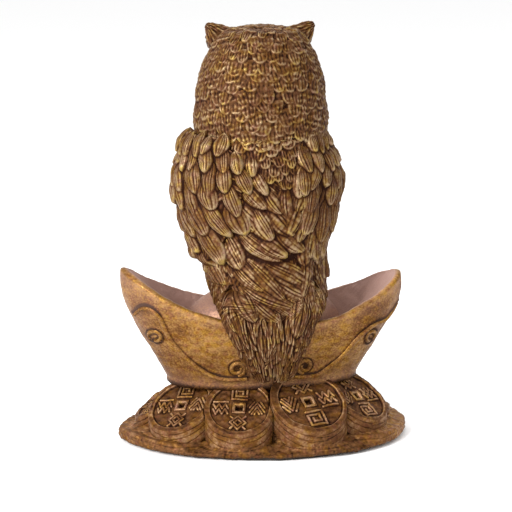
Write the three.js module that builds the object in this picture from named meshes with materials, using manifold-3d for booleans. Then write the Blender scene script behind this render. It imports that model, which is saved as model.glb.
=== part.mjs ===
// Owl figurine: an owl perched on a boat-shaped ingot (a yuanbao), on a mound of cash coins.
// Cast resin with an antique gold finish, 115 mm tall.
// Millimetres, +Z up. The owl faces -Y, so its left side is +X. The origin is the middle of the underside.
import * as THREE from "three";
import { mergeVertices } from "three/addons/utils/BufferGeometryUtils.js";
import Module from "manifold-3d";

const wasm = await Module();
wasm.setup();

// ---------------------------------------------------------------- driving dimensions, mm
const GAP = 0.3; // clearance between neighbouring pieces
const OWL_OFFSET = 0.2; // the owl and the ingot stand this far to the left of the base's middle

const SLAB = { halfLength: 40.2, halfDepth: 27.8, felt: 0.8, top: 3.4, bevel: 0.5 };
const FELT_INSET = 0.9;
// The slab's plan is a superellipse, fuller on the owl's right (-X) than on its left (+X).
const PLAN_POWER = { left: 1.55, right: 1.85 };
// The mound's foot is scalloped: it follows the coins that stand round it.
const MOUND = { scallop: 6.2, topLength: 27.5, topDepth: 14.5, top: 14.8 };
// A low skirt of ground runs from the mound out to the slab's ends.
const SKIRT = { halfLength: 38.6, halfDepth: 25.6, lip: 0.8, topLength: 24, topDepth: 10, top: 12 };

const COIN = { thickness: 3, rim: 1.3, recess: 0.5, hole: 2.5, frame: 0.9, tilt: 36 };
// Ring of coins that lean outwards on the mound: angle round the mound, radius, how far it stands proud,
// and for the two end coins how far out along the base it is moved.
const COIN_RING = { middle: -0.7, halfLength: 27.6, halfDepth: 17.8, height: 11.5 };
const COINS = [
  { name: "coin_rear_far_left", angle: 27, radius: 9.4, lift: -0.7 },
  { name: "coin_rear_left", angle: 69, radius: 9.4, lift: 0 },
  { name: "coin_rear_right", angle: 109, radius: 10.8, lift: 1 },
  { name: "coin_rear_far_right", angle: 150, radius: 9.6, lift: 0.1 },
  { name: "coin_right_end", angle: 184, radius: 6, lift: -3, out: -3 },
  { name: "coin_front_far_right", angle: 216, radius: 9.2, lift: 0 },
  { name: "coin_front_right", angle: 251, radius: 9.8, lift: 0.8 },
  { name: "coin_front_left", angle: 290, radius: 9.6, lift: 0.1 },
  { name: "coin_front_far_left", angle: 327, radius: 8.6, lift: -1 },
  { name: "coin_left_end", angle: 357, radius: 6, lift: -3, out: 3 },
];
// The coins from the top one down: each coin is cut back where one above it lies.
const COIN_ORDER = [2, 6, 1, 7, 3, 5, 0, 8, 4, 9];

const HULL = {
  foot: 15.1, // height of the ingot's underside
  footLength: 26, // half-length and half-depth of its underside
  footDepth: 13,
  rimLength: 39.2, // the same at its rim
  rimDepth: 17.5,
  rimLow: 34.5, // rim height at mid-length
  rimRise: 12, // and how much higher the two tips are
  rimCurve: 2.3,
  belly: 1.3, // how far the walls bulge between foot and rim
  lean: 1.7, // the left tip is higher and the right tip lower by this
  wall: 1.7, // thickness at the rim
  floor: 28,
  floorLength: 25,
  floorDepth: 12.3,
};
const DOME = { halfLength: 22.6, halfDepth: 11.4, rise: 14, centre: 30, base: 28.3 };

const SCROLL = { radius: 0.85, eyelet: 1.9 };
const SCROLL_CURL = { x: 9, z: 23, radius: 2, from: 20, to: 285 };
// The raised line on a side wall as [x, z], after the curl beside the tail: along the foot, up the S
// and over the leaf-shaped hook under the tip. The two ends of the ingot differ a little.
const SCROLL_LINES = {
  left: {
    path: [
      [12.3, 19.4], [15.8, 20.2], [19, 22.2], [21.7, 24.4], [24.4, 27.3],
      [27, 30.6], [28.8, 34.5], [30, 37], [32, 38.9], [34.2, 39], [35.7, 36.5],
    ],
    eyelet: [30.4, 31.2],
  },
  right: {
    path: [
      [12.9, 19.4], [15.9, 21.2], [18.9, 23.4], [21.2, 25.7], [24, 29],
      [26.4, 30.9], [29.3, 32.7], [32.9, 33.2], [35.6, 34.8],
    ],
    eyelet: [28.5, 29.2],
  },
};

// Owl, as stations up the body: [z, centre x, centre y, half-width, half-depth].
const TORSO = [
  [36.8, -0.8, 14.0, 13.6, 3.4],
  [40, -1.0, 9.6, 15.2, 8.4],
  [45, -1.0, 3.4, 16.2, 14.8],
  [53, -0.4, 0.6, 17.0, 17.6],
  [62, 0, 0, 17.8, 18.6],
  [71, 0, 0, 18.4, 18.8],
  [78, 0, 0, 18.2, 18.2],
  [84, 0, 0, 17.2, 17.0],
];
const HEAD = [
  [84.3, 0.4, 0, 17.9, 16.8],
  [88.5, 0.4, 0, 18.5, 17.0],
  [93.5, 0.4, -0.3, 18.0, 16.8],
  [98.5, 0.4, -0.4, 17.4, 16.4],
  [104, 0.3, -0.3, 15.9, 15.0],
  [108.5, 0.3, 0, 13.6, 12.8],
  [111.6, 0.2, 0, 11.8, 10.4],
  [113.4, 0, 0, 8.4, 7.0],
  [114, 0, 0, 3.4, 2.6],
];
const WING = [
  [48, 16.6, 8.5, 1.4, 2.4],
  [52, 17.0, 7.2, 2.8, 6.6],
  [58, 17.4, 4.8, 4.6, 12.0],
  [65, 17.8, 2.6, 5.8, 15.4],
  [72, 17.9, 1.2, 6.6, 16.6],
  [78, 17.4, 0.6, 5.4, 15.0],
  [83, 16.6, 0.2, 3.8, 11.0],
  [87, 15.8, 0, 2.0, 5.6],
];
const WING_SHIFT = { left: 0.3, right: 2 }; // the right wing is folded closer to the body
const TAIL = [
  [20, 0.2, 17.3, 3.8, 1.7],
  [24, 0.4, 17.9, 6.8, 2.5],
  [29, 0.7, 18.4, 8.8, 2.9],
  [34.4, 0.8, 18.2, 10.6, 3.2],
  [40, 0.6, 17.0, 10.4, 3.4],
  [46, 0.4, 16.4, 8.2, 2.9],
];
const EYE = { x: 7.2, y: -14.4, z: 98.4, radius: 4.3 };
const BEAK = { z: 94.2, y: -16.4, length: 7.4, radius: 2.3, droop: 62 };
// Brow ridge and ear tuft on one side, as [x, y, z] with its radius there.
const TUFT = [
  { at: [4.4, -16.4, 101.6], radius: 1.3 },
  { at: [8.0, -13.8, 105.6], radius: 2.4 },
  { at: [10.2, -8.4, 108.4], radius: 3.4 },
  { at: [12.2, -4.0, 110.8], radius: 2.9 },
  { at: [14.4, -2.6, 114.43], radius: 1.0 },
];
const TOE = { root: [6.0, -6.2], radius: 1.5, spread: [-3.4, 0, 3.4], reach: 5.2, ankle: 2.4 };

// ---------------------------------------------------------------- finishes
const finish = (color, roughness, metalness) =>
  new THREE.MeshStandardMaterial({ color, roughness, metalness });
const antiqueGold = finish(0x8a6238, 0.5, 0.55);
const brushedGold = finish(0xa87a3e, 0.42, 0.6);
const darkGold = finish(0x76502f, 0.52, 0.5);
const feltGreen = finish(0x2b2622, 0.95, 0);

// ---------------------------------------------------------------- solids
const radians = THREE.MathUtils.degToRad;

/** A manifold-3d solid from a closed three.js geometry. */
function toSolid(geometry) {
  const bare = geometry.clone();
  bare.deleteAttribute("normal");
  bare.deleteAttribute("uv");
  const merged = mergeVertices(bare, 1e-4);
  return new wasm.Manifold(
    new wasm.Mesh({
      numProp: 3,
      vertProperties: new Float32Array(merged.attributes.position.array),
      triVerts: new Uint32Array(merged.index.array),
    }),
  );
}

/** A three.js geometry from a manifold-3d solid. */
function toGeometry(solid) {
  const mesh = solid.getMesh();
  const points = new Float32Array(mesh.numVert * 3);
  for (let i = 0; i < mesh.numVert; i++)
    points.set(mesh.vertProperties.subarray(i * mesh.numProp, i * mesh.numProp + 3), i * 3);
  const geometry = new THREE.BufferGeometry()
    .setAttribute("position", new THREE.BufferAttribute(points, 3))
    .setIndex(new THREE.BufferAttribute(mesh.triVerts, 1));
  geometry.computeVertexNormals();
  return geometry;
}

/** A closed solid through rings of equally many points, each end closed by a fan to a point. */
function ringed(rings, first, last) {
  const sides = rings[0].length;
  const points = [first, ...rings.flat(), last];
  const faces = [];
  const at = (ring, k) => 1 + ring * sides + (k % sides);
  for (let k = 0; k < sides; k++) {
    faces.push(0, at(0, k + 1), at(0, k));
    for (let r = 0; r + 1 < rings.length; r++) {
      faces.push(at(r, k), at(r, k + 1), at(r + 1, k + 1));
      faces.push(at(r, k), at(r + 1, k + 1), at(r + 1, k));
    }
    faces.push(points.length - 1, at(rings.length - 1, k), at(rings.length - 1, k + 1));
  }
  const geometry = new THREE.BufferGeometry().setFromPoints(points);
  geometry.setIndex(faces);
  return toSolid(geometry);
}

/** Any list of equal-length number rows, as a smooth curve sampled at u from 0 to 1. */
function sample(rows, u) {
  const place = u * (rows.length - 1);
  const i = Math.min(Math.floor(place), rows.length - 2);
  const t = place - i;
  const row = (k) => rows[THREE.MathUtils.clamp(k, 0, rows.length - 1)];
  return row(i).map((_, c) => {
    const [a, b, d, e] = [row(i - 1)[c], row(i)[c], row(i + 1)[c], row(i + 2)[c]];
    const m0 = (d - a) / 2;
    const m1 = (e - b) / 2;
    const t2 = t * t;
    const t3 = t2 * t;
    return (2 * t3 - 3 * t2 + 1) * b + (t3 - 2 * t2 + t) * m0 + (-2 * t3 + 3 * t2) * d + (t3 - t2) * m1;
  });
}

/** An upright solid through elliptical stations; grow makes it that much larger all round. */
function loft(stations, { sides = 22, steps = 9, grow = 0, mirror = 1, shift = 0 } = {}) {
  const rings = [];
  for (let i = 0; i <= steps; i++) {
    const [z, x, y, width, depth] = sample(stations, i / steps);
    const end = i === 0 ? -grow : i === steps ? grow : 0;
    const ring = [];
    for (let k = 0; k < sides; k++) {
      const a = (2 * Math.PI * k) / sides;
      ring.push(new THREE.Vector3(
        mirror * x + shift + (width + grow) * Math.cos(a),
        y + (depth + grow) * Math.sin(a),
        z + end,
      ));
    }
    rings.push(ring);
  }
  const middle = (ring) => ring.reduce((sum, p) => sum.add(p), new THREE.Vector3()).divideScalar(sides);
  return ringed(rings, middle(rings[0]), middle(rings.at(-1)));
}

/** A tapered round solid along a path. */
function sweep(path, radii, { sides = 8, steps = 24, grow = 0 } = {}) {
  const curve = new THREE.CatmullRomCurve3(path);
  const frames = curve.computeFrenetFrames(steps);
  const rings = [];
  for (let i = 0; i <= steps; i++) {
    const centre = curve.getPointAt(i / steps);
    const [radius] = sample(radii.map((r) => [r]), i / steps);
    const ring = [];
    for (let k = 0; k < sides; k++) {
      const a = (2 * Math.PI * k) / sides;
      ring.push(centre.clone()
        .addScaledVector(frames.normals[i], (radius + grow) * Math.cos(a))
        .addScaledVector(frames.binormals[i], (radius + grow) * Math.sin(a)));
    }
    rings.push(ring);
  }
  const capAt = (i, sign) => curve.getPointAt(i / steps)
    .addScaledVector(frames.tangents[i], sign * (grow + 0.35 * radii[i ? radii.length - 1 : 0]));
  return ringed(rings, capAt(0, -1), capAt(steps, 1));
}

/** The main body of a cut solid, without the loose slivers that the cut left. */
function mainBody(solid) {
  return solid.decompose().reduce((a, b) => (b.volume() > a.volume() ? b : a));
}

function box(width, depth, height, x = 0, y = 0, z = 0) {
  return toSolid(new THREE.BoxGeometry(width, depth, height).translate(x, y, z));
}

/** A plan outline of the base: a superellipse with its own power on each side. */
function planRing(halfLength, halfDepth, z, sides) {
  const ring = [];
  for (let k = 0; k < sides; k++) {
    const a = (2 * Math.PI * k) / sides;
    const [c, s] = [Math.cos(a), Math.sin(a)];
    const power = c > 0 ? PLAN_POWER.left : PLAN_POWER.right;
    const reach = (Math.abs(c) ** power + Math.abs(s) ** power) ** (-1 / power);
    ring.push(new THREE.Vector3(halfLength * reach * c - OWL_OFFSET, halfDepth * reach * s, z));
  }
  return ring;
}

/** The outline round all the coins' feet at a height, as seen from the middle of the base. */
function scallopRing(z, sides) {
  const ring = [];
  for (let k = 0; k < sides; k++) {
    const a = (2 * Math.PI * k) / sides;
    const ray = new THREE.Vector2(Math.cos(a), Math.sin(a));
    const reaches = COINS.map((coin) => {
      const foot = coinFoot(coin);
      const along = foot.centre.dot(ray);
      const beside = foot.centre.cross(ray);
      return Math.abs(beside) < foot.radius ? along + Math.sqrt(foot.radius ** 2 - beside ** 2) : 0;
    });
    const reach = Math.max(...reaches);
    ring.push(new THREE.Vector3(reach * ray.x - OWL_OFFSET, reach * ray.y, z));
  }
  return ring;
}

/** A flat-ended solid through rings stacked up the Z axis. */
function stacked(rings) {
  const middle = (ring) => new THREE.Vector3(-OWL_OFFSET, 0, ring[0].z);
  return ringed(rings, middle(rings[0]), middle(rings.at(-1)));
}

// ---------------------------------------------------------------- base
function felt() {
  const size = [SLAB.halfLength - FELT_INSET, SLAB.halfDepth - FELT_INSET];
  return stacked([planRing(...size, 0, 28), planRing(...size, SLAB.felt, 28)]);
}

function slab() {
  const { halfLength, halfDepth, felt: bottom, top, bevel } = SLAB;
  const level = (inset, z) => planRing(halfLength - inset, halfDepth - inset, z, 36);
  return stacked([
    level(bevel, bottom + GAP),
    level(0, bottom + GAP + bevel),
    level(bevel, top - bevel),
    level(3 * bevel, top),
  ]);
}

function mound(coins) {
  const heap = stacked([
    scallopRing(SLAB.top + GAP, 72),
    scallopRing(MOUND.scallop, 72),
    planRing(MOUND.topLength, MOUND.topDepth, MOUND.top, 72),
  ]);
  const bottom = SLAB.top + GAP;
  const skirt = stacked([
    planRing(SKIRT.halfLength, SKIRT.halfDepth, bottom, 36),
    planRing(SKIRT.halfLength - SKIRT.lip, SKIRT.halfDepth - SKIRT.lip, bottom + SKIRT.lip, 36),
    planRing(SKIRT.topLength, SKIRT.topDepth, SKIRT.top, 36),
  ]);
  return coins.reduce((solid, coin) => solid.subtract(coin), heap.add(skirt));
}

// ---------------------------------------------------------------- coins
/** The middle of a coin in plan, and the direction that it leans in. */
function coinStand({ angle, out = 0 }) {
  const a = radians(angle);
  const { middle, halfLength, halfDepth } = COIN_RING;
  return {
    x: middle + halfLength * Math.cos(a) + out,
    y: halfDepth * Math.sin(a),
    heading: Math.atan2(halfLength * Math.sin(a), halfDepth * Math.cos(a)),
  };
}

/** The round foot under a coin, in plan, measured from the middle of the base. */
function coinFoot(coin) {
  const { x, y, heading } = coinStand(coin);
  const tilt = radians(COIN.tilt);
  const reach = coin.radius * Math.cos(tilt) + 0.5 * COIN.thickness * Math.sin(tilt);
  const radius = 0.95 * coin.radius;
  const out = reach - radius;
  return {
    radius,
    centre: new THREE.Vector2(x + OWL_OFFSET + out * Math.cos(heading), y + out * Math.sin(heading)),
  };
}

/** Where a coin lies: at an angle round the mound, leaning outwards. */
function coinPlace(coin) {
  const { x, y, heading } = coinStand(coin);
  return new THREE.Matrix4()
    .makeTranslation(x, y, COIN_RING.height + coin.lift)
    .multiply(new THREE.Matrix4().makeRotationZ(heading))
    .multiply(new THREE.Matrix4().makeRotationY(radians(COIN.tilt)));
}

function coinDisc(coin, grow = 0) {
  const disc = new THREE.CylinderGeometry(coin.radius + grow, coin.radius + grow, COIN.thickness + 2 * grow, 22)
    .rotateX(Math.PI / 2)
    .applyMatrix4(coinPlace(coin));
  return toSolid(disc);
}

/** A cash coin: a raised rim, and a raised square frame round a square hole. */
function cashCoin(coin) {
  const half = COIN.thickness / 2;
  const inner = coin.radius - COIN.rim;
  const profile = [
    [0, -half], [coin.radius, -half], [coin.radius, half - 0.3], [coin.radius - 0.3, half],
    [inner, half], [inner - 0.3, half - COIN.recess], [0, half - COIN.recess],
  ].map(([r, z]) => new THREE.Vector2(r, z));
  const frameSide = COIN.hole + 2 * COIN.frame;
  return toSolid(new THREE.LatheGeometry(profile, 22).rotateX(Math.PI / 2))
    .add(box(frameSide, frameSide, half, 0, 0, half / 2))
    .subtract(box(COIN.hole, COIN.hole, 2 * COIN.thickness))
    .transform(coinPlace(coin).elements);
}

/** Every coin, cut back where one above it lies, as [name, solid]. */
function coinPile() {
  const above = [hull(GAP)];
  const made = new Map();
  for (const index of COIN_ORDER) {
    const coin = COINS[index];
    made.set(index, above.reduce((solid, cutter) => solid.subtract(cutter), cashCoin(coin)));
    above.push(coinDisc(coin, GAP));
  }
  return { solids: COINS.map((coin, i) => [coin.name, made.get(i)]), cutters: above.slice(1) };
}

// ---------------------------------------------------------------- ingot
const flare = (s) => s + HULL.belly * s * s * (1 - s);

function rimHeight(t) {
  return HULL.rimLow + HULL.rimRise * Math.abs(Math.cos(t)) ** HULL.rimCurve + HULL.lean * Math.cos(t);
}

/** A point on the ingot's outer wall: t goes round it, s goes from its foot (0) to its rim (1). */
function hullPoint(t, s, grow = 0) {
  const f = flare(s);
  return new THREE.Vector3(
    (HULL.footLength + (HULL.rimLength - HULL.footLength) * f + grow) * Math.cos(t),
    (HULL.footDepth + (HULL.rimDepth - HULL.footDepth) * f + grow) * Math.sin(t),
    HULL.foot + (rimHeight(t) - HULL.foot) * s,
  );
}

/** The wall point that stands at a given x and z, on the rear (side 1) or the front (side -1). */
function wallAt(x, z, side, grow) {
  let t = Math.PI / 2;
  let s = 0.5;
  for (let i = 0; i < 30; i++) {
    s = THREE.MathUtils.clamp((z - HULL.foot) / (rimHeight(t) - HULL.foot), 0, 1);
    const reach = HULL.footLength + (HULL.rimLength - HULL.footLength) * flare(s) + grow;
    t = Math.acos(THREE.MathUtils.clamp(x / reach, -1, 1));
  }
  const point = hullPoint(t, s, grow);
  point.y *= side;
  return point;
}

/** The ingot's boat: an outer wall, a rim with a thickness, and a hollow with a flat floor. */
function hull(grow = 0) {
  const sides = 36;
  const ring = (make) => Array.from({ length: sides }, (_, k) => make((2 * Math.PI * k) / sides));
  const rings = [ring((t) => hullPoint(t, 0, grow - 0.5).setZ(HULL.foot - grow))];
  for (const s of [0.04, 0.35, 0.7, 0.93])
    rings.push(ring((t) => hullPoint(t, s, grow)));
  rings.push(ring((t) => hullPoint(t, 1, grow - 0.35).add(new THREE.Vector3(0, 0, grow))));
  const inset = HULL.wall + grow;
  const inner = (t, s) => new THREE.Vector3(
    THREE.MathUtils.lerp(HULL.floorLength - grow, HULL.rimLength - inset, s) * Math.cos(t),
    THREE.MathUtils.lerp(HULL.floorDepth - grow, HULL.rimDepth - inset, s) * Math.sin(t),
    THREE.MathUtils.lerp(HULL.floor, rimHeight(t) - 0.4, s) + grow,
  );
  for (const s of [1, 0.5, 0])
    rings.push(ring((t) => inner(t, s)));
  return ringed(
    rings,
    new THREE.Vector3(0, 0, HULL.foot - grow),
    new THREE.Vector3(0, 0, HULL.floor + grow),
  );
}

function dome(grow = 0) {
  const ellipsoid = new THREE.SphereGeometry(1, 24, 16)
    .scale(DOME.halfLength + grow, DOME.halfDepth + grow, DOME.rise + grow)
    .translate(0, 0, DOME.centre);
  const below = DOME.base - grow;
  return toSolid(ellipsoid).subtract(box(100, 100, 40, 0, 0, below - 20));
}

/** The raised line and its curls on one quarter of the ingot. end is 1 on the owl's left. */
function scroll(endName, end, side) {
  const { path: line, eyelet } = SCROLL_LINES[endName];
  const lift = GAP + SCROLL.radius;
  const onWall = ([x, z]) => wallAt(end * x, z, side, lift);
  const curl = [];
  const curlSteps = 6;
  for (let i = 0; i <= curlSteps; i++) {
    const a = radians(THREE.MathUtils.lerp(SCROLL_CURL.from, SCROLL_CURL.to, i / curlSteps));
    curl.push([SCROLL_CURL.x + SCROLL_CURL.radius * Math.cos(a), SCROLL_CURL.z + SCROLL_CURL.radius * Math.sin(a)]);
  }
  const path = [...curl, ...line].map(onWall);
  const ribbon = sweep(path, [SCROLL.radius, SCROLL.radius], { sides: 5, steps: 36 });
  const ring = [];
  const ringPoints = 8;
  for (let i = 0; i < ringPoints; i++) {
    const a = (2 * Math.PI * i) / ringPoints;
    ring.push(onWall([eyelet[0] + SCROLL.eyelet * Math.cos(a), eyelet[1] + SCROLL.eyelet * Math.sin(a)]));
  }
  return ribbon.add(closedSweep(ring, 0.8 * SCROLL.radius)).subtract(hull(GAP));
}

/** A round-section ring through points. */
function closedSweep(points, radius, sides = 5, steps = 12) {
  const curve = new THREE.CatmullRomCurve3(points, true);
  const frames = curve.computeFrenetFrames(steps, true);
  const at = [];
  for (let i = 0; i < steps; i++)
    for (let k = 0; k < sides; k++) {
      const a = (2 * Math.PI * k) / sides;
      at.push(curve.getPointAt(i / steps)
        .addScaledVector(frames.normals[i], radius * Math.cos(a))
        .addScaledVector(frames.binormals[i], radius * Math.sin(a)));
    }
  const faces = [];
  const id = (i, k) => (i % steps) * sides + (k % sides);
  for (let i = 0; i < steps; i++)
    for (let k = 0; k < sides; k++)
      faces.push(id(i, k), id(i, k + 1), id(i + 1, k + 1), id(i, k), id(i + 1, k + 1), id(i + 1, k));
  return toSolid(new THREE.BufferGeometry().setFromPoints(at).setIndex(faces));
}

// ---------------------------------------------------------------- owl
function domeHeight(x, y) {
  const inside = 1 - (x / DOME.halfLength) ** 2 - (y / DOME.halfDepth) ** 2;
  return DOME.centre + DOME.rise * Math.sqrt(Math.max(inside, 0));
}

/** A foot: three toes that lie on the dome, joined at the ankle. */
function foot(side, grow = 0) {
  const [rootX, rootY] = TOE.root;
  const onDome = (x, y, clear) => new THREE.Vector3(side * x, y, domeHeight(x, y) + clear);
  const ankle = new THREE.SphereGeometry(TOE.ankle + grow, 10, 6)
    .translate(...onDome(rootX, rootY, TOE.ankle + GAP).toArray());
  return TOE.spread.reduce((solid, spread) => {
    const path = [0, 0.35, 0.7, 1].map((u) =>
      onDome(rootX + spread * u, rootY - TOE.reach * u, TOE.radius + 2 * GAP + 0.5 * Math.sin(Math.PI * u)));
    const toe = sweep(path, [TOE.radius, TOE.radius, TOE.radius * 0.9, TOE.radius * 0.4], { sides: 6, steps: 5, grow });
    return solid.add(toe);
  }, toSolid(ankle));
}

function eye(side, grow = 0) {
  return toSolid(new THREE.SphereGeometry(EYE.radius + grow, 14, 9).translate(side * EYE.x, EYE.y, EYE.z));
}

function beak(grow = 0) {
  const droop = radians(BEAK.droop);
  const tip = new THREE.Vector3(0, -BEAK.length * Math.cos(droop), -BEAK.length * Math.sin(droop));
  const root = new THREE.Vector3(0, BEAK.y, BEAK.z);
  const bend = new THREE.Vector3(0, -BEAK.radius * 0.7, 0);
  const path = [
    root.clone().addScaledVector(tip, -0.3),
    root.clone().addScaledVector(tip, 0.3).add(bend),
    root.clone().add(tip),
  ];
  return sweep(path, [BEAK.radius, BEAK.radius * 0.85, 0.35], { sides: 8, steps: 5, grow });
}

function tuft(side, grow = 0) {
  const path = TUFT.map(({ at: [x, y, z] }) => new THREE.Vector3(side * x, y, z));
  return sweep(path, TUFT.map(({ radius }) => radius), { sides: 8, steps: 9, grow });
}

// ---------------------------------------------------------------- assembly
const group = new THREE.Group();
group.name = "owl_figurine";
const figure = new THREE.Group();
figure.position.x = OWL_OFFSET;
group.add(figure);

function addPiece(name, solid, material) {
  const mesh = new THREE.Mesh(toGeometry(mainBody(solid)), material);
  mesh.name = name;
  figure.add(mesh);
}

const SIDES = [["left", 1], ["right", -1]];

addPiece("base_felt", felt(), feltGreen);
addPiece("base_slab", slab(), darkGold);
const { solids: coins, cutters: coinCutters } = coinPile();
addPiece("coin_mound", mound(coinCutters), darkGold);
for (const [name, solid] of coins) addPiece(name, solid, antiqueGold);

addPiece("ingot_hull", hull(), brushedGold);
addPiece("ingot_dome", dome(), brushedGold);
const tailShape = (grow) => loft(TAIL, { sides: 16, steps: 7, grow });
for (const [endName, end] of SIDES) {
  addPiece(`scroll_rear_${endName}`, scroll(endName, end, 1).subtract(tailShape(GAP)), brushedGold);
  addPiece(`scroll_front_${endName}`, scroll(endName, end, -1), brushedGold);
}

const torsoCutter = loft(TORSO, { grow: GAP });
const torso = loft(TORSO)
  .subtract(dome(GAP))
  .subtract(hull(GAP))
  .subtract(foot(1, GAP))
  .subtract(foot(-1, GAP));
addPiece("torso", torso, antiqueGold);
addPiece("tail", tailShape(0).subtract(torsoCutter).subtract(hull(GAP)), darkGold);

const headCutter = loft(HEAD, { grow: GAP });
let head = loft(HEAD).subtract(beak(GAP));
for (const [name, side] of SIDES) {
  const tuftSolid = tuft(side).subtract(headCutter);
  head = head.subtract(eye(side, GAP));
  addPiece(`${name}_eye`, eye(side), darkGold);
  addPiece(`${name}_ear_tuft`, tuftSolid.subtract(eye(side, GAP)), antiqueGold);
  const wing = loft(WING, { sides: 16, steps: 9, mirror: side, shift: WING_SHIFT[name] });
  addPiece(`${name}_wing`, wing.subtract(torsoCutter).subtract(headCutter), antiqueGold);
  addPiece(`${name}_foot`, foot(side).subtract(dome(GAP)).subtract(hull(GAP)), brushedGold);
}
addPiece("head", head, antiqueGold);
addPiece("beak", beak(), darkGold);

export default group;
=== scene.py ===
"""Looks of the owl figurine: feathers, coins, ingot and antique gold finish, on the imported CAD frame.

Sculpting is done in millimetres in the owl's own frame: +Z up, the owl faces -Y, its left is +X and its
axis is x = 0. A turn of 0 is the owl's back and a quarter turn is its left side.
Meshes are written in metres, moved to the CAD's frame.
"""
import math

import bmesh
import bpy
import numpy as np
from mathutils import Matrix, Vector


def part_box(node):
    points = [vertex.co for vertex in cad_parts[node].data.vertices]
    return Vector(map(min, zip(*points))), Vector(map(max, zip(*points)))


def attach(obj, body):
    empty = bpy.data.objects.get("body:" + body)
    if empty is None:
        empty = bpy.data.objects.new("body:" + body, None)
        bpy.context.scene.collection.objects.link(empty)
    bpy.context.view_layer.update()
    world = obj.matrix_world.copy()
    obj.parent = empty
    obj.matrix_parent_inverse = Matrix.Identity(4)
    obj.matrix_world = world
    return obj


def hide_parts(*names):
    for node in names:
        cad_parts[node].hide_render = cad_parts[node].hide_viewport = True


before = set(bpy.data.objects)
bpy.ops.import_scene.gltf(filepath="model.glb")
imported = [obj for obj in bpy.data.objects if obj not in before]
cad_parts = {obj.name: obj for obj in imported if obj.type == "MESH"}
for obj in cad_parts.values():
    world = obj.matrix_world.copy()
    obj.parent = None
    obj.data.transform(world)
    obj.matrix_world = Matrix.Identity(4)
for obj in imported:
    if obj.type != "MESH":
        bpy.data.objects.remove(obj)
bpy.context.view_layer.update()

MM = 0.001
rng = np.random.default_rng(11)


ingot_low, ingot_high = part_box("ingot_hull")
AXIS = np.array([(ingot_low[0] / MM + ingot_high[0] / MM) / 2, 0, 0])


def node_box(name):
    """A CAD node's lowest and highest corners, in millimetres in the owl's frame."""
    lo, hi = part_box(name)
    return np.array(lo) / MM - AXIS, np.array(hi) / MM - AXIS


TORSO_LO, TORSO_HI = node_box("torso")
HEAD_LO, HEAD_HI = node_box("head")
SLAB_LO, SLAB_HI = node_box("base_slab")


# ------------------------------------------------------------------ numbers and noise
def curve(keys, x):
    """A smooth curve through (place, value) keys, flat beyond its ends."""
    xs, ys = np.array(keys, float).T
    slopes = np.gradient(ys, xs)
    x = np.clip(x, xs[0], xs[-1])
    i = np.clip(np.searchsorted(xs, x) - 1, 0, len(xs) - 2)
    h = xs[i + 1] - xs[i]
    t = (x - xs[i]) / h
    rise = (3 - 2 * t) * t * t
    start = (1 - t) ** 2 * t * h * slopes[i]
    end = (t - 1) * t * t * h * slopes[i + 1]
    return ys[i] + (ys[i + 1] - ys[i]) * rise + start + end


def smoothstep(lo, hi, x):
    t = np.clip((x - lo) / (hi - lo), 0, 1)
    return t * t * (3 - 2 * t)


def bump(x, middle, width):
    return np.exp(-(((x - middle) / width) ** 2))


def lumps(points, size, seed, waves=16):
    """A soft random field, about -1 to 1, whose lumps are that many millimetres across."""
    local = np.random.default_rng(seed)
    total = np.zeros(points.shape[:-1])
    for _ in range(waves):
        direction = local.normal(size=3)
        direction *= local.uniform(0.6, 1.5) * math.pi / size / np.linalg.norm(direction)
        total += np.sin(points @ direction + local.uniform(0, 2 * math.pi))
    return total / math.sqrt(waves)


def blur(field, times, wrap):
    """A grid field averaged with its neighbours a number of times."""
    out = field.copy()
    for _ in range(times):
        rows = np.pad(out, ((1, 1), (0, 0)), mode="edge")
        out = 0.25 * rows[:-2] + 0.5 * out + 0.25 * rows[2:]
        cols = np.pad(out, ((0, 0), (1, 1)), mode="wrap" if wrap else "edge")
        out = 0.25 * cols[:, :-2] + 0.5 * out + 0.25 * cols[:, 2:]
    return out


def rough(points, *layers):
    """Random fields added up, each given as (height, size, seed)."""
    return sum(height * lumps(points, size, seed) for height, size, seed in layers)


def full_turn(count):
    """Angles all the way round, the last one left out."""
    return np.linspace(0, 2 * math.pi, count, endpoint=False)


# ------------------------------------------------------------------ surfaces
def unit(vectors):
    return vectors / np.maximum(np.linalg.norm(vectors, axis=-1, keepdims=True), 1e-12)


def grid_normals(points, wrap=True):
    """Unit normals of a grid whose rows go up and whose columns go round."""
    padded = np.pad(points, ((0, 0), (1, 1), (0, 0)), mode="wrap" if wrap else "edge")
    round_ = padded[:, 2:] - padded[:, :-2]
    up = np.gradient(points, axis=0)
    return unit(np.cross(up, round_))


def raised(points, relief, wrap=True):
    """A grid pushed out along its normals by a relief."""
    return points + grid_normals(points, wrap) * relief[..., None]


class Loft:
    """An upright form with elliptical sections.

    Each row is (height, middle x, middle y, half-width, half-depth), in millimetres.
    """

    def __init__(self, rows):
        self.rows = np.array(rows, float)

    def point(self, turn, z, thickness=0.0):
        x, y, width, depth = (curve(self.rows[:, [0, k]], z) for k in range(1, 5))
        return np.stack([
            x + (width + thickness) * np.sin(turn),
            y + (depth + thickness) * np.cos(turn),
            z + 0 * turn,
        ], -1)

    def levels(self, low, high, count):
        """Heights that are evenly spaced along the form's side."""
        z = np.linspace(low, high, 4000)
        side = self.point(np.full_like(z, math.pi / 2), z)
        length = np.append(0, np.cumsum(np.linalg.norm(np.diff(side, axis=0), axis=1)))
        return np.interp(np.linspace(0, length[-1], count), length, z)


def fitted(lo, hi, shape):
    """Loft rows from a shape given in fractions of a CAD box, each from -1 or 0 to 1."""
    (mid_x, mid_y, _), (half_x, half_y, half_z) = (lo + hi) / 2, (hi - lo) / 2
    return [
        (lo[2] + h * 2 * half_z, mid_x + x * half_x, mid_y + y * half_y, w * half_x, d * half_y)
        for h, x, y, w, d in shape
    ]


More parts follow.
